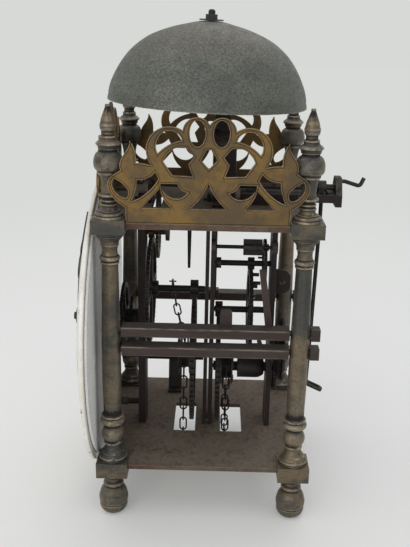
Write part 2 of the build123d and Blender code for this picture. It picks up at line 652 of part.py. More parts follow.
stand_leg = {"front": 2.4, "back": 20.4, "x": 11.0, "wall": 3.6, "arch": 42.0}
stand_foot = {"reach": 11.0, "thickness": 3.0, "rivet": 2.4}
shoulder_radius, shoulder_height = 7.0, 3.0
stand_post_radius = 4.6
shoulder_top = inside[-1][1] - 0.05
shoulder_under = shoulder_top - shoulder_height
with BuildPart() as bell_stand:
    # an arch of strap iron astride the pallet arbor
    leg_plane = front_view(0, stand_leg["back"], high_plate_top)
    outer, wall, spring = stand_leg["x"] + stand_leg["wall"], stand_leg["wall"], stand_leg["arch"]
    with BuildSketch(leg_plane):
        with BuildLine():
            Line((-outer, 0), (-outer, spring))
            ThreePointArc((-outer, spring), (0, spring + outer), (outer, spring))
            Line((outer, spring), (outer, 0))
            Line((outer, 0), (outer - wall, 0))
            Line((outer - wall, 0), (outer - wall, spring))
            ThreePointArc((outer - wall, spring), (0, spring + outer - wall), (wall - outer, spring))
            Line((wall - outer, spring), (wall - outer, 0))
            Line((wall - outer, 0), (-outer, 0))
        make_face()
        for side in (-1, 1):
            with Locations((side * (outer + stand_foot["reach"] / 2 - 0.5), stand_foot["thickness"] / 2)):
                Rectangle(stand_foot["reach"] + 1, stand_foot["thickness"])
    extrude(amount=stand_leg["back"] - stand_leg["front"])
    with BuildSketch(Plane.XY.offset(high_plate_top + stand_foot["thickness"])):
        middle_y = (stand_leg["front"] + stand_leg["back"]) / 2
        with Locations(*[(side * (outer + stand_foot["reach"] * 0.55), middle_y) for side in (-1, 1)]):
            Circle(stand_foot["rivet"])
    extrude(amount=1.6, taper=30)
    # the post leans from the arch to the bell's own axis
    top = bell_plane.from_local_coords(Vector(0, shoulder_under, 0))
    bottom = Vector(0, middle_y, high_plate_top + spring + outer - wall / 2)
    post = top - bottom
    with BuildSketch(Plane(origin=bottom, z_dir=post)):
        Circle(stand_post_radius + 1.4)
    with BuildSketch(Plane(origin=top + post.normalized() * 0.5, z_dir=post)):
        Circle(stand_post_radius)
    loft()
    add(turned([(shoulder_radius, shoulder_under), (shoulder_radius, shoulder_top),
                (bell_stud_radius, shoulder_top),
                (bell_stud_radius, bell_stud_top - 1.6, -0.3), (1.2, bell_stud_top)], bell_plane))
save(bell_stand, "bell_stand")

washer_radius, washer_height = 9.3, 1.0
nut_width, nut_height = 14.0, 3.4
washer_seat = crown_top + 0.02
with BuildPart() as bell_washer:
    add(turned([(washer_radius, washer_seat), (washer_radius - 0.6, washer_seat + washer_height)],
               bell_plane))
    stud_hole = turned([(bell_stud_radius + 0.05, 0), (bell_stud_radius + 0.05, bell_stud_top)], bell_plane)
    add(stud_hole, mode=Mode.SUBTRACT)
save(bell_washer, "bell_washer")

with BuildPart() as bell_nut:
    nut_seat = bell_plane.from_local_coords(Vector(0, washer_seat + washer_height + 0.02, 0))
    with BuildSketch(Plane(origin=nut_seat, x_dir=(1, 0, 0), z_dir=bell_plane.y_dir)):
        Rectangle(nut_width, nut_width * 0.62)
    extrude(amount=nut_height)
    chamfer(edges().group_by(SortBy.LENGTH)[0], 1.0)
    add(stud_hole, mode=Mode.SUBTRACT)
save(bell_nut, "bell_nut")

# ================================================================ dial and its iron backing
dome_height = dial_rise
pipe_radius = hour_stud_radius + hour_stud_clearance + pipe_wall
dial_hole = pipe_radius + 1.5


def dome(radius, rise):
    # radius of the sphere whose cap has this radius and rise
    return (radius * radius + rise * rise) / (2 * rise)


dial_plane = Plane(origin=(0, dial_seat_y, hour_axis_z), x_dir=(1, 0, 0), z_dir=(0, 0, -1))
sphere = dome(dial_radius, dome_height)
sphere_centre = dial_edge + dome_height - sphere
seat_width = 14.0


def dome_at(radius, lift=0.0):
    # height of the dome's front above the rim's back, with a gap square to the surface
    return sphere_centre + ((sphere + lift) ** 2 - radius ** 2) ** 0.5


with BuildPart() as dial:
    with BuildSketch(dial_plane):
        with BuildLine():
            Line((dial_radius, 0), (dial_radius, dial_edge))
            ThreePointArc((dial_radius, dial_edge), (dial_radius / 2, dome_at(dial_radius / 2)),
                          (dial_hole, dome_at(dial_hole)))
            Line((dial_hole, dome_at(dial_hole)), (dial_hole, dome_at(dial_hole, -dial_wall)))
            inner_rim = dial_radius - seat_width
            ThreePointArc((dial_hole, dome_at(dial_hole, -dial_wall)),
                          (dial_radius / 2, dome_at(dial_radius / 2, -dial_wall)),
                          (inner_rim, dome_at(inner_rim, -dial_wall)))
            Line((inner_rim, dome_at(inner_rim, -dial_wall)), (inner_rim + 6, 0))
            Line((inner_rim + 6, 0), (dial_radius, 0))
        make_face()
    revolve(axis=Axis(dial_plane.origin, dial_plane.y_dir))
save(dial, "dial")

with BuildPart() as dial_plate:
    with BuildSketch(front_view(0, dial_seat_y + dial_plate_depth, hour_axis_z)):
        Circle(dial_plate_radius)
        Circle(pipe_radius + 2.0, mode=Mode.SUBTRACT)
    extrude(amount=dial_plate_depth)
    for z in dial_foot_heights:
        add(rods(0, z, [(dial_seat_y + dial_plate_depth, dial_foot_root, dial_foot_radius + 0.9)]))
save(dial_plate, "dial_plate")

# ================================================================ hour hand
hand_boss = {"radius": 7.4, "gap": 1.3, "depth": 2.4}
boss_back_y = dial_seat_y - dome_at(dial_hole) - hand_boss["gap"]
with BuildPart() as hour_hand:
    # the blade follows the dome: its outline cut from a thin shell lifted off the dial
    with BuildSketch(dial_plane):
        with BuildLine():
            low, high, reach = hand_clearance, hand_clearance + hand_wall, hand_length + 2
            ThreePointArc((0, sphere_centre + sphere + high), (reach / 2, dome_at(reach / 2, high)),
                          (reach, dome_at(reach, high)))
            Line((reach, dome_at(reach, high)), (reach, dome_at(reach, low)))
            ThreePointArc((reach, dome_at(reach, low)), (reach / 2, dome_at(reach / 2, low)),
                          (0, sphere_centre + sphere + low))
            Line((0, sphere_centre + sphere + low), (0, sphere_centre + sphere + high))
        make_face()
    revolve(axis=Axis(dial_plane.origin, dial_plane.y_dir))
    with BuildSketch(front_view(0, dial_seat_y, hour_axis_z)):
        with BuildLine():
            Polyline((-3.0, 0), (-2.2, 34), (0, 34), (2.2, 34), (3.0, 0), close=True)
        make_face()
        with Locations((0, 44)):
            Ellipse(8.6, 11.0)
            Ellipse(4.4, 6.4, mode=Mode.SUBTRACT)
        with BuildLine():
            Polyline((-2.4, 53), (-6.0, 60), (-1.3, 66), (0, hand_length), (1.3, 66), (6.0, 60), (2.4, 53),
                     close=True)
        make_face()
        with BuildLine():
            Polyline((-2.6, 0), (-2.0, -18), (-4.2, -23), (0, -28), (4.2, -23), (2.0, -18), (2.6, 0),
                     close=True)
        make_face()
        Circle(hand_boss["radius"])
    extrude(amount=60, mode=Mode.INTERSECT)
    add(rods(0, hour_axis_z, [(boss_back_y - hand_boss["depth"], boss_back_y, hand_boss["radius"])]))
    add(rods(0, hour_axis_z, [(boss_back_y - 10, boss_back_y + 10, pipe_radius + pivot_clearance)]),
        mode=Mode.SUBTRACT)
save(hour_hand, "hour_hand")

# ================================================================ going train
# each pair of wheel and pinion: pitch radii and module from the distance between their arbors
great_pitch, second_leaf_pitch, great_module = gear_sizes(second_axis_z - great_axis_z, great_teeth,
                                                          second_leaves)
second_pitch, escape_leaf_pitch, second_module = gear_sizes(escape_axis_z - second_axis_z, second_teeth,
                                                            escape_leaves)
hour_pitch, motion_leaf_pitch, hour_module = gear_sizes(hour_axis_z - great_axis_z, hour_teeth, motion_leaves)
above, below = 90.0, 270.0  # directions along which wheels and pinions meet, in the front view


def between_leaves(direction, leaves):
    # first leaf of a pinion that shows a gap in this direction
    return direction + 180.0 / leaves


going_front = front_bar_y + front_bar_depth + end_shake  # the going arbors run between these two faces
going_back = middle_front_y - end_shake
pivot_tip = 0.5  # a pivot ends this far short of its bar's outer face
sprocket_gap = 0.6  # between a great wheel and its chain wheel
going_sprocket_y = great_wheel_y - sprocket_gap - sprocket_width
great_arbor_radius, arbor_radius = 4.0, 2.6
sprocket_bore = great_arbor_radius + pivot_clearance
motion_pinion_y, motion_pinion_depth = hour_wheel_y + 0.6, 3.6

with BuildPart() as going_great_wheel:
    face = wheel_face(great_teeth, great_pitch, great_module, above, 4.4, 11.0, 4, 5.0, turn=45)
    add(slab(face, front_view(0, great_wheel_y + great_wheel_depth, great_axis_z), great_wheel_depth))
    add(rods(0, great_axis_z, [
        (going_front, going_back, great_arbor_radius),
        (going_back, middle_front_y + middle_front_depth - pivot_tip, pivot_radius),
        (motion_pinion_y, going_front, great_front_radius),
    ]))
save(going_great_wheel, "going_great_wheel")

with BuildPart() as motion_pinion:
    face = pinion_face(motion_leaves, motion_leaf_pitch, hour_module, between_leaves(above, motion_leaves))
    add(slab(face, front_view(0, motion_pinion_y, great_axis_z), motion_pinion_depth))
save(motion_pinion, "motion_pinion")


def sprocket_profile(front, back):
    # grooved chain wheel with a deep round-bottomed track
    middle = (front + back) / 2
    return [
        (sprocket_bore, front), (sprocket_radius, front), (sprocket_radius, front + 1.0),
        (sprocket_groove + 0.8, front + 1.3), (sprocket_groove, middle),
        (sprocket_groove + 0.8, back - 1.3), (sprocket_radius, back - 1.0), (sprocket_radius, back),
        (sprocket_bore, back),
    ]


def sprocket(front, axis_z):
    back = front + sprocket_width
    plane = Plane(origin=(0, 0, axis_z), x_dir=(1, 0, 0), z_dir=(0, 0, 1))
    with BuildPart() as piece:
        with BuildSketch(plane):
            with BuildLine():
                points = sprocket_profile(front, back)
                Polyline(*points, close=True)
            make_face()
        revolve(axis=Axis(plane.origin, plane.y_dir))
    return piece.part


click = {"outer": 13.6, "inner": 11.6, "depth": 0.9, "gap": 100.0}


def click_spring(back, axis_z):
    # flat open ring riveted to the chain wheel's face; its free end brushes the great wheel's arms
    with BuildPart() as piece:
        with BuildSketch(front_view(0, back, axis_z)):
            Circle(click["outer"])
            Circle(click["inner"], mode=Mode.SUBTRACT)
            with BuildLine():
                Polyline((0, 0), (30, 8), (30, -8), close=True)
            make_face(mode=Mode.SUBTRACT)
        extrude(amount=click["depth"])
    return piece.part


with BuildPart() as going_sprocket:
    add(sprocket(going_sprocket_y, great_axis_z))
save(going_sprocket, "going_sprocket")

with BuildPart() as going_click_spring:
    add(click_spring(going_sprocket_y, great_axis_z))
save(going_click_spring, "going_click_spring")

with BuildPart() as second_wheel:
    face = wheel_face(second_teeth, second_pitch, second_module, above, 3.8, 8.0, 4, 4.0, turn=0)
    add(slab(face, front_view(0, second_wheel_y + second_wheel_depth, second_axis_z), second_wheel_depth))
    face = pinion_face(second_leaves, second_leaf_pitch, great_module, between_leaves(below, second_leaves))
    leaf_back, leaf_depth = great_wheel_y + great_wheel_depth + 1.6, great_wheel_depth + 3.2
    add(slab(face, front_view(0, leaf_back, second_axis_z), leaf_depth))
    add(rods(0, second_axis_z, [
        (front_bar_y + pivot_tip, going_front, pivot_radius),
        (going_front, going_back, arbor_radius),
        (going_back, middle_front_y + middle_front_depth - pivot_tip, pivot_radius),
        (second_wheel_y + second_wheel_depth, second_wheel_y + second_wheel_depth + 4.5, 6.0),
    ]))
save(second_wheel, "second_wheel")

escape_cock_y, escape_cock_depth = escape_wheel_y + 7.0, 3.0
escape_cock_half = 7.0
with BuildPart() as escape_wheel:
    with BuildSketch(front_view(0, escape_wheel_y + escape_wheel_depth, escape_axis_z)):
        with BuildLine():
            step = 2 * pi / escape_teeth
            points = []
            for k in range(escape_teeth):
                angle = k * step
                points.append((16.6 * cos(angle), 16.6 * sin(angle)))
                points.append((escape_tip_radius * cos(angle + 0.72 * step),
                               escape_tip_radius * sin(angle + 0.72 * step)))
                points.append((escape_tip_radius * cos(angle + 0.86 * step),
                               escape_tip_radius * sin(angle + 0.86 * step)))
            Polyline(*points, close=True)
        make_face()
        Circle(13.6, mode=Mode.SUBTRACT)
        Circle(5.0)
        with PolarLocations(9.3, 4):
            Rectangle(10.6, 2.6)
    extrude(amount=escape_wheel_depth)
    face = pinion_face(escape_leaves, escape_leaf_pitch, second_module, between_leaves(below, escape_leaves))
    leaf_back, leaf_depth = second_wheel_y + second_wheel_depth + 1.2, second_wheel_depth + 2.0
    add(slab(face, front_view(0, leaf_back, escape_axis_z), leaf_depth))
    add(rods(0, escape_axis_z, [
        (front_bar_y + pivot_tip, going_front, pivot_radius),
        (going_front, escape_cock_y - end_shake, 2.2),
        (escape_cock_y - end_shake, escape_cock_y + escape_cock_depth - pivot_tip, pivot_radius),
    ]))
save(escape_wheel, "escape_wheel")

with BuildPart() as escape_cock:
    with BuildSketch(front_view(0, escape_cock_y + escape_cock_depth, 0)):
        with Locations((0, (escape_axis_z + high_plate_z) / 2)):
            Rectangle(2 * escape_cock_half, high_plate_z - escape_axis_z)
        with Locations((0, escape_axis_z)):
            Circle(escape_cock_half)
            Circle(pivot_hole, mode=Mode.SUBTRACT)
    extrude(amount=escape_cock_depth)
    add(box((-escape_cock_half, escape_cock_half), (escape_cock_y, escape_cock_y + 16),
            (high_plate_z - 3, high_plate_z)))
save(escape_cock, "escape_cock")

# ================================================================ pallets, their arbor and the crutch
pallet_distance = pallet_axis_z - escape_axis_z
embrace = acos(escape_tip_radius / pallet_distance)  # half the angle of wheel between the pallets
pallet_reach = pallet_distance * sin(embrace)  # from the pallet arbor to where a pallet meets the wheel
pallet_lift = pallet_reach * sin(radians(crutch_swing)) + pallet_clearance
pallet_x = (escape_tip_radius + pallet_lift) * sin(embrace)
pallet_z = (escape_tip_radius + pallet_lift) * cos(embrace) - pallet_distance
front_cock_y, front_cock_depth = escape_wheel_y - 6.9, 3.4
cock_hole = pivot_hole
pallet_front = front_cock_y + front_cock_depth + end_shake
pallet_back = cock_back_y - cock_tab_depth - end_shake
pallet_arbor_radius = 2.4

with BuildPart() as pallets:
    with BuildSketch(front_view(0, escape_wheel_y + escape_wheel_depth, pallet_axis_z)):
        with BuildLine():
            Line((0, 6.4), (pallet_x - 2.4, pallet_z + 12.0))
            Line((pallet_x - 2.4, pallet_z + 12.0), (pallet_x + 4.8, pallet_z + 3.4))
            Line((pallet_x + 4.8, pallet_z + 3.4), (pallet_x, pallet_z))
            Line((pallet_x, pallet_z), (pallet_x - 1.6, pallet_z + 4.4))
            ThreePointArc((pallet_x - 1.6, pallet_z + 4.4), (pallet_x * 0.5, pallet_z + 10.6), (0, -8.0))
            Line((0, -8.0), (0, 6.4))
        make_face()
        mirror(about=Plane.YZ)
        Circle(6.0)
        Circle(pallet_arbor_radius + 0.02, mode=Mode.SUBTRACT)
    extrude(amount=escape_wheel_depth)
save(pallets, "pallets")

with BuildPart() as pallet_arbor:
    add(rods(0, pallet_axis_z, [
        (front_cock_y + pivot_tip, pallet_front, pivot_radius),
        (pallet_front, pallet_back, pallet_arbor_radius),
        (pallet_back, cock_back_y - pivot_tip, pivot_radius),
    ]))
save(pallet_arbor, "pallet_arbor")

with BuildPart() as front_cock:
    with BuildSketch(front_view(0, front_cock_y + front_cock_depth, 0)):
        with BuildLine():
            Polyline((-13, high_plate_top), (-13, high_plate_top + 2.6), (-6.5, high_plate_top + 3.4),
                     (-5.5, pallet_axis_z),
                     (5.5, pallet_axis_z), (6.5, high_plate_top + 3.4), (13, high_plate_top + 2.6),
                     (13, high_plate_top), close=True)
        make_face()
        with Locations((0, pallet_axis_z)):
            Circle(5.5)
            Circle(cock_hole, mode=Mode.SUBTRACT)
    extrude(amount=front_cock_depth)
save(front_cock, "front_cock")

crutch_slot = {"y": 12.0, "x": 8.0, "wall": 2.0, "height": 2.4}
crutch_rod = 1.6
with BuildPart() as crutch:
    # collet on the arbor, the rod down behind the clock, and the open loop for the pendulum rod
    add(rods(0, pallet_axis_z, [(crutch_y - 3.0, crutch_y + 3.0, 5.2)]))
    loop_front = crutch_y - 2.4
    with BuildLine() as path:
        FilletPolyline((0, crutch_y, pallet_axis_z - 3.5), (0, crutch_y, pallet_axis_z - 30),
                       (0, crutch_y - 1.6, crutch_foot_z + 50),
                       (0, crutch_y - 3.0, crutch_foot_z + 1.6), radius=60)
    with BuildSketch(Plane(origin=(0, crutch_y, pallet_axis_z - 3.5), z_dir=(0, 0, -1))):
        Circle(crutch_rod)
    sweep(path=path.line)
    fork_plane = Plane(origin=(0, loop_front, crutch_foot_z), x_dir=(1, 0, 0),
                       z_dir=(0, sin(radians(25)), cos(radians(25))))
    with BuildSketch(fork_plane):
        with Locations((0, crutch_slot["y"] / 2)):
            RectangleRounded(crutch_slot["x"], crutch_slot["y"] + 4, 3.0)
            SlotOverall(crutch_slot["y"] - 1, crutch_slot["x"] - 2 * crutch_slot["wall"], rotation=90,
                        mode=Mode.SUBTRACT)
    extrude(amount=crutch_slot["height"])
    add(rods(0, pallet_axis_z, [(crutch_y - 5, crutch_y + 5, pallet_arbor_radius + 0.02)]),
        mode=Mode.SUBTRACT)
save(crutch, "crutch")

# ================================================================ back cock and the pendulum's hook
crutch_window = {"half": 9.0, "y": (crutch_y - 6.0, crutch_y + 5.0)}
with BuildPart() as back_cock:
    strap_z = high_plate_top + cock_lift
    add(box((-cock_half_width, cock_half_width), (cock_front_y, cock_back_y),
            (strap_z, strap_z + cock_thickness)))
    add(box((-cock_half_width, cock_half_width), (cock_front_y, cock_front_y + 24),
            (high_plate_top, strap_z)))
    add(box((-crutch_window["half"], crutch_window["half"]), crutch_window["y"],
            (strap_z - 1, strap_z + cock_thickness + 1)),
        mode=Mode.SUBTRACT)
    # end tab: turned up to carry the arbor and the hook, with a short lip turned down
    with BuildSketch(front_view(0, cock_back_y, 0)):
        with BuildLine():
            Polyline((-cock_half_width, high_plate_top - 0.3), (-cock_half_width, strap_z + cock_thickness),
                     (-7.0, cock_tab_top - 3),
                     (-5.0, cock_tab_top), (5.0, cock_tab_top), (7.0, cock_tab_top - 3),
                     (cock_half_width, strap_z + cock_thickness),
                     (cock_half_width, high_plate_top - 0.3), close=True)
        make_face()
        with Locations((0, pallet_axis_z)):
            Circle(cock_hole, mode=Mode.SUBTRACT)
        with Locations((0, hook_z)):
            Circle(hook_radius + 0.02, mode=Mode.SUBTRACT)
    extrude(amount=cock_tab_depth)
    # bolt head that clamps the cock to the top plate
    with BuildSketch(Plane.XY.offset(strap_z + cock_thickness)):
        with Locations((0, cock_front_y + 9)):
            Rectangle(9, 9)
    extrude(amount=0.001 + 1.2)
save(back_cock, "back_cock")

with BuildPart() as suspension_hook:
    hook_end_y = cock_back_y + 18.5
    with BuildLine() as path:
        FilletPolyline((0, cock_back_y - 4.6, hook_z), (0, cock_back_y + 3, hook_z),
                       (0, hook_end_y - 3.5, hook_z - 3.6),
                       (0, hook_end_y - 0.6, hook_z + 3.0), radius=2.6)
    with BuildSketch(Plane(origin=(0, cock_back_y - 4.6, hook_z), z_dir=(0, 1, 0))):
        Circle(hook_radius)
    sweep(path=path.line)
save(suspension_hook, "suspension_hook")

# ================================================================ hour wheel, its star and pipe
with BuildPart() as hour_wheel:
    pipe_back = front_bar_y - 1.0
    hand_seat = boss_back_y - hand_boss["depth"] - 0.4
    face = wheel_face(hour_teeth, hour_pitch, hour_module, below, 3.2, 8.0, 4, 3.6)
    add(slab(face, front_view(0, hour_wheel_y, hour_axis_z), hour_wheel_depth))
    add(rods(0, hour_axis_z, [(hand_seat, pipe_back, pipe_radius),
                              (hour_wheel_y - 1, pipe_back, pipe_radius + 2.4)]))
    add(rods(0, hour_axis_z, [(hand_seat - 5, pipe_back + 5, hour_stud_radius + hour_stud_clearance)]),
        mode=Mode.SUBTRACT)
save(hour_wheel, "hour_wheel")

star_points = 12
with BuildPart() as star_wheel:
    with BuildSketch(front_view(0, star_wheel_y + star_wheel_depth, hour_axis_z)):
        with BuildLine():
            points = []
            for k in range(star_points):
                for share, radius in ((0.0, star_radius), (0.5, star_radius * 0.66)):
                    angle = 2 * pi * (k + share) / star_points + pi / star_points
                    points.append((radius * cos(angle), radius * sin(angle)))
            Polyline(*points, close=True)
        make_face()
        Circle(pipe_radius + 2.4, mode=Mode.SUBTRACT)
    extrude(amount=star_wheel_depth)
save(star_wheel, "star_wheel")

# ================================================================ strike train
strike_pitch, pin_leaf_pitch, strike_module = gear_sizes(pin_axis_z - strike_axis_z, strike_teeth, pin_leaves)
pin_pitch, warning_leaf_pitch, pin_module = gear_sizes(warning_axis_z - pin_axis_z, pin_teeth, warning_leaves)
fly_distance = hypot(fly_axis_x, fly_axis_z - warning_axis_z)
fly_direction = degrees(atan2(fly_axis_z - warning_axis_z, fly_axis_x))
warning_pitch, fly_leaf_pitch, warning_module = gear_sizes(fly_distance, warning_teeth, fly_leaves)
count_distance = hypot(count_axis_x, count_axis_z - strike_axis_z)
count_direction = degrees(atan2(count_axis_z - strike_axis_z, count_axis_x))
count_pitch, count_driver_pitch, count_module = gear_sizes(count_distance, count_teeth, count_driver_teeth)
strike_front = middle_rear_y + middle_rear_depth + end_shake
strike_back = rear_bar_y - end_shake
front_pivot_tip = middle_rear_y + pivot_tip
back_pivot_tip = rear_bar_y + rear_bar_depth - pivot_tip
strike_sprocket_y = strike_wheel_y + strike_wheel_depth + sprocket_gap
sleeve = {"front": rear_bar_y - 23.8, "back": rear_bar_y - 1.8, "radius": 9.2, "end_radius": 6.4}

with BuildPart() as strike_great_wheel:
    face = wheel_face(strike_teeth, strike_pitch, strike_module, above, 4.2, 10.0, 4, 4.6, turn=45)
    add(slab(face, front_view(0, strike_wheel_y + strike_wheel_depth, strike_axis_z), strike_wheel_depth))
    add(rods(0, strike_axis_z, [
        (front_pivot_tip, strike_front, pivot_radius),
        (strike_front, strike_back, great_arbor_radius),
        (strike_back, count_gear_y + count_gear_depth + 0.8, strike_back_radius),
    ]))
    # the thick sleeve behind the chain wheel
    profile_plane = Plane(origin=(0, 0, strike_axis_z), x_dir=(1, 0, 0), z_dir=(0, 0, 1))
    with BuildSketch(profile_plane):
        with BuildLine():
            add(outline([(0, sleeve["front"]), (sleeve["radius"], sleeve["front"]),
                         (sleeve["radius"], sleeve["back"] - 8, -0.9),
                         (sleeve["end_radius"], sleeve["back"]), (0, sleeve["back"])]))
        make_face()
    revolve(axis=Axis(profile_plane.origin, profile_plane.y_dir))
save(strike_great_wheel, "strike_great_wheel")

with BuildPart() as strike_sprocket:
    add(sprocket(strike_sprocket_y, strike_axis_z))
save(strike_sprocket, "strike_sprocket")

with BuildPart() as strike_click_spring:
    add(click_spring(strike_sprocket_y + sprocket_width + click["depth"], strike_axis_z))
save(strike_click_spring, "strike_click_spring")

with BuildPart() as count_pinion:
    face = wheel_face(count_driver_teeth, count_driver_pitch, count_module, count_direction, 13.0, 4.0, 4,
                      3.0,
                      hole=strike_back_radius + 0.02)
    add(slab(face, front_view(0, count_gear_y + count_gear_depth, strike_axis_z), count_gear_depth))
save(count_pinion, "count_pinion")

with BuildPart() as pin_wheel:
    face = wheel_face(pin_teeth, pin_pitch, pin_module, above, 4.4, 7.0, 4, 4.0, turn=45)
    add(slab(face, front_view(0, pin_wheel_y + pin_wheel_depth, pin_axis_z), pin_wheel_depth))
    face = pinion_face(pin_leaves, pin_leaf_pitch, strike_module, between_leaves(below, pin_leaves))
    leaf_back, leaf_depth = strike_wheel_y + strike_wheel_depth + 1.2, strike_wheel_depth + 2.6
    add(slab(face, front_view(0, leaf_back, pin_axis_z), leaf_depth))
    add(rods(0, pin_axis_z, [
        (front_pivot_tip, strike_front, pivot_radius),
        (strike_front, strike_back, arbor_radius),
        (strike_back, back_pivot_tip, pivot_radius),
    ]))
    with BuildSketch(front_view(0, pin_wheel_y + pin_wheel_depth + pin_length, pin_axis_z)):
        with PolarLocations(pin_circle, lifting_pins, start_angle=180 / lifting_pins):
            Circle(pin_radius)
    extrude(amount=pin_length + 0.5)
save(pin_wheel, "pin_wheel")

with BuildPart() as warning_wheel:
    face = wheel_face(warning_teeth, warning_pitch, warning_module, fly_direction, 3.0, 5.0, 4, 2.6, turn=20)
    add(slab(face, front_view(0, warning_wheel_y + warning_wheel_depth, warning_axis_z), warning_wheel_depth))
    face = pinion_face(warning_leaves, warning_leaf_pitch, pin_module, between_leaves(below, warning_leaves))
    leaf_back, leaf_depth = pin_wheel_y + pin_wheel_depth + 1.2, pin_wheel_depth + 2.4
    add(slab(face, front_view(0, leaf_back, warning_axis_z), leaf_depth))
    add(rods(0, warning_axis_z, [
        (front_pivot_tip, strike_front, pivot_radius),
        (strike_front, strike_back, 2.3),
        (strike_front + 0.4, strike_front + 4.4, 4.4),
        (strike_back, back_pivot_tip, pivot_radius),
    ]))
    # the locking pin stands on the front of the wheel
    with BuildSketch(front_view(0, warning_wheel_y, warning_axis_z)):
        with Locations((-(warning_pitch - 3.2), 0)):
            Circle(0.9)
    extrude(amount=3.4)
save(warning_wheel, "warning_wheel")

with BuildPart() as fly:
    face = pinion_face(fly_leaves, fly_leaf_pitch, warning_module,
                       between_leaves(180 + fly_direction, fly_leaves))
    leaf_back = warning_wheel_y + warning_wheel_depth + 0.9
    add(slab(face, front_view(fly_axis_x, leaf_back, fly_axis_z), warning_wheel_depth + 1.8))
    add(rods(fly_axis_x, fly_axis_z, [
        (front_pivot_tip, strike_front, 1.2),
        (strike_front, strike_back, 1.5),
        (strike_back, back_pivot_tip, 1.2),
    ]))
    # two thin vanes on a short clip
    with BuildSketch(front_view(fly_axis_x, fly_back_y, fly_axis_z)):
        Rectangle(2.4, 2 * fly_half_width, rotation=8)
        Circle(3.0)
    extrude(amount=fly_back_y - fly_front_y)
save(fly, "fly")

with BuildPart() as count_wheel:
    gap_first = count_direction + 180 + 180 / count_teeth
    face = wheel_face(count_teeth, count_pitch, count_module, gap_first, 3.4, 8.0, 4, 4.0,
                      turn=count_direction)
    add(slab(face, front_view(count_axis_x, count_gear_y + count_gear_depth, count_axis_z), count_gear_depth))
    # the count disc: a plain rim cut with a notch after each hour's blows
    with BuildSketch(front_view(count_axis_x, count_disc_y + count_disc_depth, count_axis_z)):
        Circle(count_disc_radius)
        struck = 0
        for hour in range(1, 13):
            struck += hour
            with PolarLocations(count_disc_radius, 1, start_angle=360 * (struck - 0.5) / blows + 20):
                Rectangle(6.0, 1.5, mode=Mode.SUBTRACT)
    extrude(amount=count_disc_depth)
    add(rods(count_axis_x, count_axis_z, [(count_gear_y, count_disc_y + count_disc_depth, 7.0)]))
    add(rods(count_axis_x, count_axis_z, [(count_gear_y - 2, count_disc_y + 4, count_stud_radius + pivot_clearance)]),
        mode=Mode.SUBTRACT)
save(count_wheel, "count_wheel")

# ================================================================ side arbors between the pillars
bar_front = -half_pitch + shaft_radius + side_arbor_gap
bar_back = half_pitch - shaft_radius - side_arbor_gap
pivot_front = -half_pitch - 1.0
block_front = half_pitch + shaft_radius + 0.8


def side_arbor(x, z, block=True):
    # flat iron bar with turned pivots; the rear pivot runs through its pillar to a square block
    with BuildPart() as piece:
        with BuildSketch(front_view(x, bar_back, z)):
            RectangleRounded(side_arbor_depth, side_arbor_height, 1.2)
        extrude(amount=bar_back - bar_front)
        last = block_front if block else half_pitch + 3.0
        add(rods(x, z, [(pivot_front, bar_front, side_pivot_radius), (bar_back, last, side_pivot_radius)]))
        if block:
            add(box((x - end_block / 2, x + end_block / 2), (block_front, block_front + end_block_length),
                    (z - end_block / 2, z + end_block / 2)))
    return piece.part


def arm(x, y, z, points, depth):
    # flat arm cut from sheet, lying across an arbor: points are (across, up) from the arbor's axis
    with BuildPart() as piece:
        with BuildSketch(front_view(x, y + depth, z)):
            with BuildLine():
                Polyline(*points, close=True)
            make_face()
        extrude(amount=depth)
    return piece.part


with BuildPart() as lifting_arbor:
    add(side_arbor(half_pitch, lifting_axis_z))
    # long tail that the star lifts once an hour
    reach = half_pitch - star_radius - 0.5
    star_drop = hour_axis_z - lifting_axis_z
    add(arm(half_pitch, star_wheel_y - 0.2, lifting_axis_z, [
        (-5, -3.2), (-5, 3.2), (-reach + 8, star_drop + 2.2), (-reach, star_drop + 1.2),
        (-reach, star_drop - 1.2), (-reach + 8, star_drop - 2.2)], 3.0))
    # the warning piece, reaching in towards the locking pin
    add(arm(half_pitch, 40.4, lifting_axis_z, [(-5, -3), (-5, 3), (-30, -2), (-34, 4), (-36.5, 3), (-33, -6)],
            2.6))
save(lifting_arbor, "lifting_arbor")

with BuildPart() as detent_arbor:
    add(side_arbor(half_pitch, detent_axis_z))
    # short broad thumb piece
    with BuildSketch(side_view(half_pitch - 5.0, 0, detent_axis_z)):
        with BuildLine():
            Polyline((10.5, 0), (10.5, 13), (12, 16.5), (18, 16.5), (19.5, 13), (19.5, 0), close=True)
        make_face()
    extrude(amount=4.0)
    # tall leaning arm towards the warning wheel
    with BuildSketch(side_view(half_pitch - 6.0, 0, detent_axis_z)):
        with BuildLine():
            Polyline((44.6, 0), (38.2, 47), (42.6, 47.6), (50.0, 0), close=True)
        make_face()
    extrude(amount=3.0)
    # the count detent: in over the count wheel, with a blade above its rim
    add(arm(half_pitch, count_disc_y - 0.6, detent_axis_z, [
        (-5, -3), (-5, 3.4), (-18, -2.4), (-23.2, -8.0), (-21.8, -9.2), (-16, -5.2)], 3.0))
save(detent_arbor, "detent_arbor")

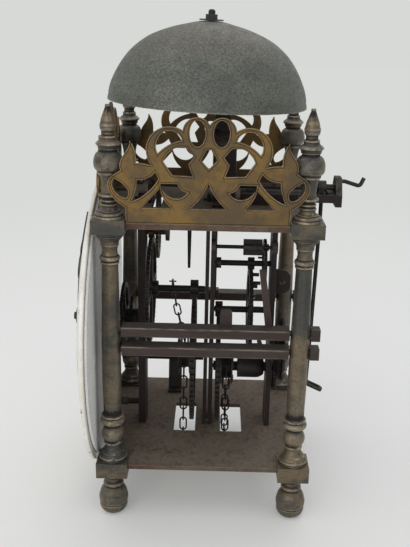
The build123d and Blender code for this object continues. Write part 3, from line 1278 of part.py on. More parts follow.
hammer_stem = {"inset": 13.7, "radius": 2.3, "top": bell_rim_z + 7.5}
hammer_head = {"radius": 6.2, "length": 17.0, "gap": 1.6}
with BuildPart() as hammer:
    add(side_arbor(-half_pitch, hammer_axis_z))
    stem_x = -bell_rim_radius + hammer_stem["inset"]  # inside the lip of the bell
    with BuildSketch(Plane.XY.offset(hammer_axis_z - 2)):
        with Locations((stem_x, hammer_y)):
            Circle(hammer_stem["radius"])
    extrude(amount=hammer_stem["top"] - hammer_axis_z + 2)
    with BuildSketch(Plane.XY.offset(hammer_axis_z)):
        root_x, tip_x = -half_pitch + 2.8, stem_x + 2.8
        with Locations(((root_x + tip_x) / 2, hammer_y)):
            Rectangle(abs(tip_x - root_x), 9)
    extrude(amount=8)
    # the head strikes outwards, just inside the lip of the bell
    across = sqrt((bell_rim_radius - bell_wall - 2.2) ** 2 - (hammer_y - bell_rim_y) ** 2) - hammer_head["gap"]
    face_plane = Plane(origin=(-across, hammer_y, hammer_stem["top"]), x_dir=(0, 0, 1), z_dir=(0, 1, 0))
    radius, length = hammer_head["radius"], hammer_head["length"]
    add(turned([(radius - 1.5, 0), (radius, 1.5), (radius, length - 1.0), (radius - 1.0, length)],
               face_plane))
    # tail in the path of the lifting pins
    tail_end = half_pitch - pin_circle - pin_radius - 2.4
    add(arm(-half_pitch, pin_wheel_y + pin_wheel_depth + 1.6, hammer_axis_z, [
        (5, -3), (5, 3), (tail_end - 3, 13.4), (tail_end, 13.4), (tail_end, 11.2), (tail_end - 2, 9.8)], 3.4))
save(hammer, "hammer")

with BuildPart() as hammer_spring:
    # blade standing on the bottom plate, bearing on the hammer arbor's inner face
    spring_x = -half_pitch + side_arbor_depth / 2 + 0.4
    with BuildSketch(front_view(0, -22.0, 0)):
        with BuildLine():
            add(outline([(spring_x + 16, low_plate_top), (spring_x + 16, low_plate_top + 2.4),
                         (spring_x + 7.6, low_plate_top + 2.4, 3),
                         (spring_x + 1.6, hammer_axis_z), (spring_x, hammer_axis_z),
                         (spring_x + 4.6, low_plate_top)]))
        make_face()
    extrude(amount=12.0)
save(hammer_spring, "hammer_spring")

# ================================================================ tapered pin under the top plate
plate_pin_y, plate_pin_end = -15.0, high_plate_z - 52.0
with BuildPart() as plate_pin:
    add(turned([(1.1, plate_pin_end), (1.9, high_plate_z - 8), (1.9, high_plate_z)],
               front_view(0, plate_pin_y, 0)))
    add(box((-5, 5), (plate_pin_y - 2.6, plate_pin_y + 5.4), (high_plate_z - 9, high_plate_z)))
save(plate_pin, "plate_pin")

# ================================================================ chains
link_pitch = link_length - 2 * link_wire - link_play


def chain_link():
    # one oval link lying in the XY plane, its length along X
    straight = (link_length - link_width) / 2
    middle = (link_width - link_wire) / 2
    with BuildPart() as link:
        with BuildLine() as path:
            Line((-straight, -middle), (straight, -middle))
            ThreePointArc((straight, -middle), (straight + middle, 0), (straight, middle))
            Line((straight, middle), (-straight, middle))
            ThreePointArc((-straight, middle), (-straight - middle, 0), (-straight, -middle))
        with BuildSketch(Plane(origin=(-straight, -middle, 0), z_dir=(1, 0, 0))):
            Circle(link_wire / 2)
        sweep(path=path.wires()[0])
    return link.part


def chain_route(y, axis_z, drop, left):
    # down, over the chain wheel, and away along the points on its left; a list of points a little apart
    points = [(chain_radius, y, z) for z in (drop, axis_z)]
    for k in range(1, 12):
        angle = radians(15 * k)
        points.append((chain_radius * cos(angle), y, axis_z + chain_radius * sin(angle)))
    return [Vector(*point) for point in points + left]


def lay_links(route):
    # walk the route one link pitch at a time, turning every other link edge on
    lengths = [0.0]
    for start, end in zip(route, route[1:]):
        lengths.append(lengths[-1] + (end - start).length)

    def point_at(distance):
        for k in range(1, len(route)):
            if distance <= lengths[k]:
                share = (distance - lengths[k - 1]) / (lengths[k] - lengths[k - 1])
                return route[k - 1] + (route[k] - route[k - 1]) * share
        return route[-1]

    placed = []
    count = int(lengths[-1] / link_pitch)
    joints = [point_at(k * link_pitch) for k in range(count + 1)]
    for k, (start, end) in enumerate(zip(joints, joints[1:])):
        run = (end - start).normalized()
        across = Vector(0, 1, 0) - run * run.Y
        if k % 2:
            across = across.cross(run)
        placed.append(Plane(origin=(start + end) / 2, x_dir=run, z_dir=across))
    return placed


chain_drop = 14.0  # lowest link above the floor
going_chain_y = going_sprocket_y + sprocket_width / 2
strike_chain_y = strike_sprocket_y + sprocket_width / 2
over_bar_z = hammer_axis_z + side_arbor_height / 2 + 7.2
draped = [(-half_pitch + 24.0, going_chain_y - 10.0, hammer_axis_z),
          (-half_pitch + 9.0, going_chain_y - 13.0, over_bar_z),
          (-half_pitch, going_chain_y - 14.0, over_bar_z + 1.4),
          (-half_pitch - 10.0, going_chain_y - 15.0, over_bar_z - 3.0),
          (-half_pitch - 13.0, going_chain_y - 15.5, hammer_axis_z - 14.0)]
chains = {
    "going_chain": chain_route(going_chain_y, great_axis_z, chain_drop, draped),
    "strike_chain": chain_route(strike_chain_y, strike_axis_z, chain_drop,
                                [(-chain_radius, strike_chain_y, strike_axis_z),
                                 (-chain_radius, strike_chain_y, chain_drop)]),
}
one_link = chain_link()
for name, route in chains.items():
    with BuildPart() as chain:
        with Locations(*lay_links(route)):
            add(one_link)
    save(chain, name)
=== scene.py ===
import json
import math

import bmesh
import bpy
from mathutils import Matrix, Vector, noise

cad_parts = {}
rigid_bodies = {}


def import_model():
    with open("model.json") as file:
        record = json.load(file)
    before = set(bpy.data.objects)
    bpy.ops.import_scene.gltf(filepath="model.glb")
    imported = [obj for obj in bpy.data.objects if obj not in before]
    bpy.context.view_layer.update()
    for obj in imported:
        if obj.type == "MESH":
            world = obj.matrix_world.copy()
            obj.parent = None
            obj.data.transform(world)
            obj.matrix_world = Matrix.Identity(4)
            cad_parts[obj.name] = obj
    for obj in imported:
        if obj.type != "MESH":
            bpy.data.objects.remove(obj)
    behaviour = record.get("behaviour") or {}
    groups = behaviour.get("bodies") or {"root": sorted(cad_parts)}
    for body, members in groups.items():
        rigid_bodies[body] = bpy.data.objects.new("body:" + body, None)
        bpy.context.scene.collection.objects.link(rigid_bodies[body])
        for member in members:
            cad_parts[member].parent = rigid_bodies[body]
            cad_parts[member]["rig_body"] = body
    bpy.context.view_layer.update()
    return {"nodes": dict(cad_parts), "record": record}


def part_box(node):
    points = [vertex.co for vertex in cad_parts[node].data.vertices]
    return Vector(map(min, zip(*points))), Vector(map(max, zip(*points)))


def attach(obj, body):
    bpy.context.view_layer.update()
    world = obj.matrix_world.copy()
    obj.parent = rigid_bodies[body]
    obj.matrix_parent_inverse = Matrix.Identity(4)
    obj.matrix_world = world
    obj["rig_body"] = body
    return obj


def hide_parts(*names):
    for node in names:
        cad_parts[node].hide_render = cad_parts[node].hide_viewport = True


mm = 0.001
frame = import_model()
nodes = frame["nodes"]
slots = {row["node"]: row["material_slot"] for row in frame["record"]["subparts"]}
print("frame loaded:", len(nodes), "nodes")


def linear(red, green, blue):
    # a colour as it looks on a screen, in the renderer's own scale
    channels = []
    for value in (red, green, blue):
        share = value / 255
        channels.append(share / 12.92 if share <= 0.04045 else ((share + 0.055) / 1.055) ** 2.4)
    return (*channels, 1.0)


class Weave:
    # adds nodes to a tree and joins them
    def __init__(self, tree):
        self.tree = tree

    def add(self, kind):
        return self.tree.nodes.new("ShaderNode" + kind)

    def join(self, value, socket):
        if isinstance(value, bpy.types.NodeSocket):
            self.tree.links.new(value, socket)
        else:
            socket.default_value = value

    def math(self, operation, first, second=0.0, clamp=False):
        node = self.add("Math")
        node.operation, node.use_clamp = operation, clamp
        self.join(first, node.inputs[0])
        self.join(second, node.inputs[1])
        return node.outputs[0]

    def noise(self, coordinates, scale, detail, roughness, distortion=0.0):
        node = self.add("TexNoise")
        self.join(coordinates, node.inputs["Vector"])
        self.join(scale, node.inputs["Scale"])
        node.inputs["Detail"].default_value = detail
        node.inputs["Roughness"].default_value = roughness
        node.inputs["Distortion"].default_value = distortion
        return node.outputs["Fac"]

    def spread(self, value, low, high, first=0.0, last=1.0):
        node = self.add("MapRange")
        node.interpolation_type = "SMOOTHSTEP"
        for item, socket in zip((value, low, high, first, last), node.inputs):
            self.join(item, socket)
        return node.outputs[0]

    def blend(self, share, first, second, mode="MIX"):
        node = self.add("Mix")
        node.data_type, node.blend_type = "RGBA", mode
        self.join(share, node.inputs[0])
        self.join(first, node.inputs[6])
        self.join(second, node.inputs[7])
        return node.outputs[2]

    def mixShaders(self, share, first, second):
        node = self.add("MixShader")
        for item, socket in zip((share, first, second), node.inputs):
            self.tree.links.new(item, socket)
        return node.outputs[0]

    def place(self):
        return self.add("TexCoord").outputs["Object"]

    def parts(self, vector):
        node = self.add("SeparateXYZ")
        self.tree.links.new(vector, node.inputs[0])
        return node.outputs

    def bump(self, height, strength, distance, shader):
        node = self.add("Bump")
        node.inputs["Strength"].default_value = strength
        node.inputs["Distance"].default_value = distance
        self.tree.links.new(height, node.inputs["Height"])
        self.tree.links.new(node.outputs["Normal"], shader.inputs["Normal"])


def newMaterial(name):
    material = bpy.data.materials.new(name)
    material.use_nodes = True
    return material, material.node_tree.nodes["Principled BSDF"], Weave(material.node_tree)


# camera, floor and light

camera = {
    "place": (621.27 * mm, 3.65 * mm, 377.10 * mm),
    "lens": 52.74,  # millimetres
    "yaw": 0.515,  # degrees: round from +X, down and over
    "pitch": 17.909,
    "roll": 1.230,
    "nearest": 0.01,
}
studio = {
    "floorSize": 6.0,
    "floor": linear(243, 242, 238),
    "floorRoughness": 0.75,
    "floorSheen": 0.2,
    "floorGlow": linear(216, 218, 215),  # seen and mirrored, but lights nothing: the shadow stays pale
    "glowShare": 0.24,  # at the clock
    "fadeSpan": (0.25, 1.3),  # metres over which the floor takes the backdrop's tone
    "backdrop": linear(215, 217, 214),
    "sky": (0.93, 0.95, 1.0, 1.0),
    "skyStrength": 0.66,
    "lamps": [  # name, place, aimed at, size, power, colour
        ("overhead", (0.15, -0.25, 1.5), (0, 0, 0.15), 1.8, 4.6, (1.0, 0.99, 0.97)),
        ("front", (1.5, -0.5, 0.42), (0, 0, 0.05), 1.6, 8.5, (1.0, 0.99, 0.97)),
        ("far", (-1.3, 0.5, 1.5), (0, 0, 0.1), 1.6, 5.4, (0.96, 0.98, 1.0)),
    ],
}


def addCamera():
    yaw, pitch, roll = (math.radians(camera[name]) for name in ("yaw", "pitch", "roll"))
    ahead = Vector((-math.cos(yaw), -math.sin(yaw), 0))
    right = Vector((-math.sin(yaw), math.cos(yaw), 0))
    upright = Vector((0, 0, 1))
    look = ahead * math.cos(pitch) - upright * math.sin(pitch)
    over = upright * math.cos(pitch) + ahead * math.sin(pitch)
    turnedRight = right * math.cos(roll) + over * math.sin(roll)
    turnedUp = over * math.cos(roll) - right * math.sin(roll)
    data = bpy.data.cameras.new("studioCamera")
    data.lens, data.clip_start = camera["lens"], camera["nearest"]
    item = bpy.data.objects.new("studioCamera", data)
    bpy.context.scene.collection.objects.link(item)
    axes = Matrix((turnedRight, turnedUp, -look)).transposed().to_4x4()
    item.matrix_world = Matrix.Translation(Vector(camera["place"])) @ axes
    bpy.context.scene.camera = item


def seenOnly(weave):
    # 1 where the camera, a reflection or a refraction looks, 0 for the light that falls on the object
    path = weave.add("LightPath").outputs
    seen = path["Is Camera Ray"]
    for other in ("Is Glossy Ray", "Is Transmission Ray"):
        seen = weave.math("MAXIMUM", seen, path[other])
    return seen


def addFloor():
    mesh = bpy.data.meshes.new("studioFloor")
    bm = bmesh.new()
    bmesh.ops.create_grid(bm, x_segments=1, y_segments=1, size=studio["floorSize"])
    bm.to_mesh(mesh)
    bm.free()
    floor = bpy.data.objects.new("studioFloor", mesh)
    bpy.context.scene.collection.objects.link(floor)
    paint, shader, weave = newMaterial("floorPaper")
    shader.inputs["Base Color"].default_value = studio["floor"]
    shader.inputs["Roughness"].default_value = studio["floorRoughness"]
    shader.inputs["Specular IOR Level"].default_value = studio["floorSheen"]
    glow = weave.add("Emission")
    glow.inputs["Color"].default_value = studio["floorGlow"]
    reach = weave.add("VectorMath")
    reach.operation = "LENGTH"
    weave.join(weave.place(), reach.inputs[0])
    fade = weave.spread(reach.outputs["Value"], *studio["fadeSpan"], studio["glowShare"], 1.0)
    share = weave.math("MULTIPLY", seenOnly(weave), fade)
    surface = weave.tree.nodes["Material Output"].inputs["Surface"]
    weave.join(weave.mixShaders(share, shader.outputs[0], glow.outputs[0]), surface)
    mesh.materials.append(paint)


def addLamps():
    for name, place, target, size, power, colour in studio["lamps"]:
        data = bpy.data.lights.new(name, "AREA")
        data.shape, data.size, data.energy, data.color = "DISK", size, power, colour
        lamp = bpy.data.objects.new(name, data)
        lamp.location = place
        lamp.rotation_euler = (Vector(place) - Vector(target)).to_track_quat("Z", "Y").to_euler()
        bpy.context.scene.collection.objects.link(lamp)


def addBackdrop():
    # the sky lights the clock, and a plain backdrop is seen behind it
    world = bpy.data.worlds.new("studioWorld")
    bpy.context.scene.world = world
    world.use_nodes = True
    weave = Weave(world.node_tree)
    light = world.node_tree.nodes["Background"]
    light.inputs["Color"].default_value = studio["sky"]
    light.inputs["Strength"].default_value = studio["skyStrength"]
    shown = weave.add("Background")
    shown.inputs["Color"].default_value = studio["backdrop"]
    choice = weave.mixShaders(seenOnly(weave), light.outputs[0], shown.outputs[0])
    weave.join(choice, world.node_tree.nodes["World Output"].inputs["Surface"])


addCamera()
addFloor()
addLamps()
addBackdrop()
bpy.context.scene.view_settings.view_transform = "Standard"
print("camera and studio set")

# old metal

ageing = {
    # detail, roughness and distortion of each noise
    "cloudNoise": (6.0, 0.62, 0.3), "speckNoise": (5.0, 0.7), "grainNoise": (3.0, 0.6),
    "specksPerCloud": 6.5,
    # where a noise, the edge mask or the upward lean goes from no effect to the full one
    # the hollow range darkens concave curves with dirt and painted shade
    "patina": (0.34, 0.64), "speck": (0.50, 0.86), "hollowDirtAndShade": (0.495, 0.43), "rubbed": (0.51, 0.60),
    "wearBreak": (0.36, 0.56), "upward": (0.55, 0.95), "dustBreak": (0.25, 0.6),
    # rubbed metal, which on bulges is also a painted highlight, and the tone of metal of middling grain
    "bright": (1.0, 0.90, 0.70, 1.0), "brightening": 0.22, "tone": 0.99, "rubbedEdge": 0.57,
    # roughness, how far dirt and patina hide the metal, and the height of the surface
    "roughest": 0.92, "dirtRoughness": 0.3, "wearPolish": 0.18, "uneven": (0.3, 0.7, -0.07, 0.07),
    "dirtCover": 0.8, "patinaCover": 0.45,
    "grainHeight": 0.35, "speckHeight": 0.65, "depth": 0.6 * mm,
}


def addSockets(group, inputs, outputs):
    # names the group's inputs and outputs, and gives both ends back
    for name, kind in inputs:
        group.interface.new_socket(name, in_out="INPUT", socket_type="NodeSocket" + kind)
    for name, kind in outputs:
        group.interface.new_socket(name, in_out="OUTPUT", socket_type="NodeSocket" + kind)
    return group.nodes.new("NodeGroupInput").outputs, group.nodes.new("NodeGroupOutput").inputs


def makeAgedGroup():
    # old metal: patina in clouds, dirt in specks, dirt and painted shade in hollows, bare metal on rubbed
    # edges and a painted highlight on bulges, dust on top
    group = bpy.data.node_groups.new("agedMetal", "ShaderNodeTree")
    given, results = addSockets(group, [
        ("Place", "Vector"), ("Metal", "Color"), ("Patina", "Color"), ("Grime And Shade", "Color"), ("Dust", "Color"),
        ("Patina Amount", "Float"), ("Grime And Shade Amount", "Float"), ("Dust Amount", "Float"),
        ("Cloud Scale", "Float"), ("Grain Scale", "Float"), ("Upward", "Float"), ("Edge", "Float"),
        ("Edge Wear And Highlight", "Float"), ("Gloss", "Float"), ("Speckle", "Float"),
    ], [("Color", "Color"), ("Roughness", "Float"), ("Metallic", "Float"), ("Height", "Float")])
    weave = Weave(group)
    blend, noiseOf, spread = weave.blend, weave.noise, weave.spread

    def add(first, second, clamp=False):
        return weave.math("ADD", first, second, clamp)

    def less(first, second):
        return weave.math("SUBTRACT", first, second)

    def times(first, second, clamp=False):
        return weave.math("MULTIPLY", first, second, clamp)

    place = given["Place"]
    clouds = noiseOf(place, given["Cloud Scale"], *ageing["cloudNoise"])
    speckScale = times(given["Cloud Scale"], ageing["specksPerCloud"])
    specks = noiseOf(place, speckScale, *ageing["speckNoise"])
    grain = noiseOf(place, given["Grain Scale"], *ageing["grainNoise"])
    patina = times(spread(clouds, *ageing["patina"]), given["Patina Amount"], True)
    # concave curves take the dirt colour: real dirt, and painted shade where shade would fall in the
    # hollows
    hollowDirtAndShade = spread(given["Edge"], *ageing["hollowDirtAndShade"])
    fouledAndShaded = weave.math("MAXIMUM", spread(specks, *ageing["speck"]), hollowDirtAndShade)
    grimeAndShade = times(fouledAndShaded, given["Grime And Shade Amount"], True)
    # rubbed edges turn to bright bare metal: real wear, and on bulges a painted highlight
    rubbed = times(spread(given["Edge"], *ageing["rubbed"]), given["Edge Wear And Highlight"])
    wearAndHighlight = times(rubbed, spread(specks, *ageing["wearBreak"]), True)
    settled = times(spread(given["Upward"], *ageing["upward"]), spread(specks, *ageing["dustBreak"]))
    dust = times(settled, given["Dust Amount"], True)
    colour = blend(patina, given["Metal"], given["Patina"])
    colour = blend(grimeAndShade, colour, given["Grime And Shade"])
    colour = blend(wearAndHighlight, colour, blend(ageing["brightening"], given["Metal"], ageing["bright"]))
    colour = blend(dust, colour, given["Dust"])
    shade = add(times(less(grain, 0.5), given["Speckle"]), ageing["tone"])
    covered = weave.math("MAXIMUM", grimeAndShade, dust)
    rough = add(less(ageing["roughest"], given["Gloss"]), times(covered, ageing["dirtRoughness"]))
    rough = less(rough, times(wearAndHighlight, ageing["wearPolish"]))
    bare = less(1.0, times(covered, ageing["dirtCover"]))
    weave.join(blend(1.0, colour, shade, "MULTIPLY"), results["Color"])
    weave.join(add(rough, spread(specks, *ageing["uneven"]), True), results["Roughness"])
    weave.join(times(bare, less(1.0, times(patina, ageing["patinaCover"]))), results["Metallic"])
    height = add(times(grain, ageing["grainHeight"]), times(specks, ageing["speckHeight"]))
    weave.join(height, results["Height"])
    return group


agedGroup = makeAgedGroup()

# each finish: its colours, how much patina, dirt and dust, cloud and grain scales, wear, gloss and bump;
# the dirt colour also paints shade in hollows, and wear also paints a highlight on bulges; keen says how
# little a curve has to bend before a bulge is worn bright and a hollow holds dirt and painted shade,
# stretch squeezes the pattern along X, Y and Z, and foot is the tone of the feet of the dial plate, which
# begin at footBegins on Y
plainFinish = dict(
    dust=(116, 108, 98), dustAmount=0.5, keen=1.0, speckle=0.55, sheen=0.4, stretch=(1.0, 1.0, 1.0))
finishes = {
    # the pillars' high keen paints a highlight on the bulges and shade in the hollows of the turnings, over
    # real wear and dirt
    "pillarBrass": dict(
        metal=(112, 99, 80), patina=(58, 60, 58), grimeAndShade=(18, 17, 16), patinaAmount=0.95, grimeAndShadeAmount=0.95,
        clouds=30, grain=700, wearAndHighlight=0.85, gloss=0.5, bump=0.3, metallic=0.6, stretch=(0.8, 0.8, 1.2),
        dust=(104, 96, 84), dustAmount=0.35, keen=3.0, speckle=1.1),
    "fretBrass": dict(
        metal=(122, 96, 52), patina=(82, 68, 48), grimeAndShade=(46, 36, 27), patinaAmount=0.9, grimeAndShadeAmount=0.5,
        clouds=36, grain=800, wearAndHighlight=1.0, gloss=0.44, bump=0.3, metallic=0.6),
    "bellMetal": dict(
        metal=(99, 100, 93), patina=(77, 80, 75), grimeAndShade=(54, 54, 50), patinaAmount=0.8, grimeAndShadeAmount=0.5,
        clouds=26, grain=620, wearAndHighlight=0.7, gloss=0.4, bump=0.7, metallic=0.4, stretch=(1.0, 1.0, 1.5),
        speckle=2.4),
    "barIron": dict(
        metal=(48, 42, 40), patina=(40, 31, 28), grimeAndShade=(24, 21, 20), patinaAmount=0.8, grimeAndShadeAmount=0.4,
        clouds=30, grain=700, wearAndHighlight=0.5, gloss=0.34, bump=0.4, metallic=0.3, sheen=0.3,
        dust=(74, 67, 62), dustAmount=0.5),
    "trainIron": dict(
        metal=(36, 32, 30), patina=(26, 23, 21), grimeAndShade=(16, 15, 14), patinaAmount=0.8, grimeAndShadeAmount=0.5,
        clouds=60, grain=800, wearAndHighlight=0.45, gloss=0.38, bump=0.35, metallic=0.3, sheen=0.3,
        dust=(56, 52, 48), dustAmount=0.35),
    "arborIron": dict(
        metal=(66, 57, 53), patina=(54, 42, 39), grimeAndShade=(32, 28, 27), patinaAmount=0.85, grimeAndShadeAmount=0.45,
        clouds=34, grain=800, wearAndHighlight=0.7, gloss=0.4, bump=0.4, metallic=0.3, sheen=0.3,
        stretch=(1.0, 0.22, 1.6), dust=(92, 84, 78), dustAmount=0.55),
    "plateIron": dict(
        metal=(98, 86, 72), patina=(76, 54, 45), grimeAndShade=(44, 39, 35), patinaAmount=0.95, grimeAndShadeAmount=0.6,
        clouds=32, grain=420, wearAndHighlight=0.5, gloss=0.18, bump=0.6, metallic=0.1, sheen=0.25,
        dust=(136, 126, 112), dustAmount=0.55),
    "wheelBrass": dict(
        metal=(78, 66, 44), patina=(48, 42, 31), grimeAndShade=(26, 23, 19), patinaAmount=0.85, grimeAndShadeAmount=0.5,
        clouds=60, grain=900, wearAndHighlight=0.6, gloss=0.4, bump=0.3, metallic=0.6),
    "chainIron": dict(
        metal=(40, 36, 33), patina=(30, 26, 24), grimeAndShade=(18, 16, 15), patinaAmount=0.7, grimeAndShadeAmount=0.5,
        clouds=120, grain=1200, wearAndHighlight=0.5, gloss=0.4, bump=0.3, metallic=0.4, sheen=0.3),
    "blueSteel": dict(
        metal=(46, 46, 50), patina=(34, 32, 34), grimeAndShade=(24, 22, 21), patinaAmount=0.6, grimeAndShadeAmount=0.4,
        clouds=90, grain=1000, wearAndHighlight=0.8, gloss=0.5, bump=0.2, metallic=0.7),
    # the scribed line's dark colours are the dirt in an incised groove and its painted shade
    "scribedBrass": dict(
        metal=(44, 33, 22), patina=(34, 26, 19), grimeAndShade=(24, 19, 15), patinaAmount=0.7, grimeAndShadeAmount=0.5,
        clouds=60, grain=800, wearAndHighlight=0.0, gloss=0.2, bump=0.2, metallic=0.2, sheen=0.2, dustAmount=0.0),
    "backPaint": dict(
        metal=(244, 243, 238), patina=(229, 229, 226), grimeAndShade=(120, 116, 110), patinaAmount=0.7,
        grimeAndShadeAmount=0.3, clouds=30, grain=600, wearAndHighlight=0.2, gloss=0.3, bump=0.25, metallic=0.0,
        dust=(176, 172, 164), dustAmount=0.2, foot=(58, 50, 46), footBegins=-81.8 * mm),
}
finishColours = {"Metal": "metal", "Patina": "patina", "Grime And Shade": "grimeAndShade", "Dust": "dust"}
finishAmounts = {
    "Patina Amount": "patinaAmount", "Grime And Shade Amount": "grimeAndShadeAmount", "Dust Amount": "dustAmount",
    "Cloud Scale": "clouds", "Grain Scale": "grain", "Edge Wear And Highlight": "wearAndHighlight", "Gloss": "gloss",
    "Speckle": "speckle",
}
materials = {}


def makeAged(name):
    look = {**plainFinish, **finishes[name]}
    materials[name], shader, weave = newMaterial(name)
    use = weave.add("Group")
    use.node_tree = agedGroup
    for socket, key in finishColours.items():
        use.inputs[socket].default_value = linear(*look[key])
    for socket, key in finishAmounts.items():
        use.inputs[socket].default_value = look[key]
    marks = {}
    for mark in ("flatness", "rubbed"):
        node = weave.add("Attribute")
        node.attribute_name = mark
        marks[mark] = node.outputs["Fac"]
    # how far the surface bends, with 0.5 as flat: large flat faces stay flat up to their corners
    bend = weave.add("NewGeometry").outputs["Pointiness"]
    level = weave.math("MULTIPLY", marks["flatness"], weave.math("SUBTRACT", 0.5, bend))
    # keen sharpens the bend, so that bulges take the painted highlight and hollows the painted shade
    edge = weave.math("MULTIPLY", weave.math("ADD", bend, level), look["keen"])
    edge = weave.math("ADD", edge, 0.5 - 0.5 * look["keen"])
    edge = weave.math("MAXIMUM", edge, weave.math("MULTIPLY", marks["rubbed"], ageing["rubbedEdge"]))
    weave.join(edge, use.inputs["Edge"])
    grainRun = weave.add("Mapping")
    grainRun.inputs["Scale"].default_value = look["stretch"]
    weave.join(weave.place(), grainRun.inputs["Vector"])
    weave.join(grainRun.outputs["Vector"], use.inputs["Place"])
    weave.join(weave.parts(weave.add("TexCoord").outputs["Normal"])["Z"], use.inputs["Upward"])
    colour = use.outputs["Color"]
    if "foot" in look:
        foot = weave.math("GREATER_THAN", weave.parts(weave.place())["Y"], look["footBegins"])
        colour = weave.blend(foot, colour, linear(*look["foot"]))
    weave.join(colour, shader.inputs["Base Color"])
    weave.join(use.outputs["Roughness"], shader.inputs["Roughness"])
    if look["metallic"]:
        metallic = weave.math("MULTIPLY", use.outputs["Metallic"], look["metallic"])
        weave.join(metallic, shader.inputs["Metallic"])
    shader.inputs["Specular IOR Level"].default_value = look["sheen"]
    weave.bump(use.outputs["Height"], look["bump"], ageing["depth"], shader)


for name in finishes:
    makeAged(name)

# dial and its paint

dialSizes = {
    "height": 137.0 * mm, "seat": -84.0 * mm, "radius": 116.0 * mm, "rise": 16.5 * mm, "edge": 3.0 * mm,
    "hole": 9.0 * mm, "wall": 2.2 * mm, "rimEase": (0.5 * mm, 0.4 * mm), "rimFlat": 5.0 * mm,
    "steps": 160, "rings": 14, "smoothAngle": 50,
}
enamel = {
    "white": linear(232, 230, 222), "clouded": linear(214, 208, 192),
    "clouds": 22.0, "cloudNoise": (5.0, 0.6), "cloudRange": (0.35, 0.7),
    "crack": linear(120, 110, 92), "crazing": 90.0, "crackWidth": 0.02, "crackShare": 0.22,
    "copper": linear(52, 44, 40), "ragged": 130.0, "raggedNoise": (4.0, 0.6), "chipRange": (0.84, 0.86),
    "rim": (109.0 * mm, 116.5 * mm), "rimShare": 0.20,
    "roughness": (0.22, 0.8), "bump": 0.6, "depth": 0.5 * mm,
    "coat": 0.3, "coatRoughness": 0.15,
}
numeralPaint = {
    "black": linear(28, 27, 28), "worn": linear(74, 70, 64),
    "patches": 160.0, "patchNoise": (5.0, 0.65), "range": (0.55, 0.75), "roughness": (0.32, 0.6),
}


def makeEnamel():
    # fired white enamel: faint crazing, yellowed clouds, and chips to dark copper round the rim
    materials["dialEnamel"], shader, weave = newMaterial("dialEnamel")
    place = weave.place()
    centred = weave.add("Mapping")
    weave.join(place, centred.inputs["Vector"])
    centred.inputs["Location"].default_value = (0, 0, -dialSizes["height"])
    away = weave.parts(centred.outputs[0])
    across = weave.math("MULTIPLY", away["X"], away["X"])
    upward = weave.math("MULTIPLY", away["Z"], away["Z"])
    radius = weave.math("SQRT", weave.math("ADD", across, upward))
    rim = weave.math("MULTIPLY", weave.spread(radius, *enamel["rim"]), enamel["rimShare"])
    ragged = weave.noise(place, enamel["ragged"], *enamel["raggedNoise"])
    chips = weave.spread(weave.math("ADD", rim, ragged), *enamel["chipRange"])
    crazing = weave.add("TexVoronoi")
    crazing.feature = "DISTANCE_TO_EDGE"
    crazing.inputs["Scale"].default_value = enamel["crazing"]
    weave.join(place, crazing.inputs["Vector"])
    crack = weave.spread(crazing.outputs["Distance"], 0.0, enamel["crackWidth"], 1.0, 0.0)
    clouds = weave.noise(place, enamel["clouds"], *enamel["cloudNoise"])
    colour = weave.blend(weave.spread(clouds, *enamel["cloudRange"]), enamel["white"], enamel["clouded"])
    colour = weave.blend(weave.math("MULTIPLY", crack, enamel["crackShare"]), colour, enamel["crack"])
    colour = weave.blend(chips, colour, enamel["copper"])
    weave.join(colour, shader.inputs["Base Color"])
    weave.join(weave.spread(chips, 0.0, 1.0, *enamel["roughness"]), shader.inputs["Roughness"])
    weave.bump(weave.math("SUBTRACT", 1.0, chips), enamel["bump"], enamel["depth"], shader)
    shader.inputs["Coat Weight"].default_value = enamel["coat"]
    shader.inputs["Coat Roughness"].default_value = enamel["coatRoughness"]


def makeNumeralPaint():
    materials["numeralBlack"], shader, weave = newMaterial("numeralBlack")
    patches = weave.noise(weave.place(), numeralPaint["patches"], *numeralPaint["patchNoise"])
    worn = weave.spread(patches, *numeralPaint["range"])
    weave.join(weave.blend(worn, numeralPaint["black"], numeralPaint["worn"]), shader.inputs["Base Color"])
    weave.join(weave.spread(worn, 0.0, 1.0, *numeralPaint["roughness"]), shader.inputs["Roughness"])


makeEnamel()
makeNumeralPaint()
print("materials made:", len(materials))

# shaping helpers

merged = 0.002 * mm  # corners nearer than this are one


def finished(bm, name, material, body="root", replaced=(), smoothAngle=35.0):
    # a mesh made a piece of the clock, smooth where it bends by less than smoothAngle
    for face in bm.faces:
        face.smooth = True
    limit = math.radians(smoothAngle)
    for edge in bm.edges:
        edge.smooth = len(edge.link_faces) == 2 and edge.calc_face_angle(0.0) < limit
    mesh = bpy.data.meshes.new(name)
    bm.to_mesh(mesh)
    bm.free()
    piece = bpy.data.objects.new(name, mesh)
    bpy.context.scene.collection.objects.link(piece)
    mesh.materials.append(materials[material])
    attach(piece, body)
    if replaced:
        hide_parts(*replaced)
    return piece


def copied(node):
    # a copy of a node's mesh with its loose triangles joined
    bm = bmesh.new()
    bm.from_mesh(nodes[node].data)
    bmesh.ops.remove_doubles(bm, verts=bm.verts, dist=merged)
    return bm


scribed = {
    "inset": 0.85 * mm, "width": 0.42 * mm, "depth": 0.3 * mm, "lift": 0.025 * mm,
    "layer": 0.1 * mm, "facing": 0.99,  # how deep the outer face is, and how squarely it looks outwards
    "sharpest": 0.6,  # keeps the line from running far out at a sharp corner
}


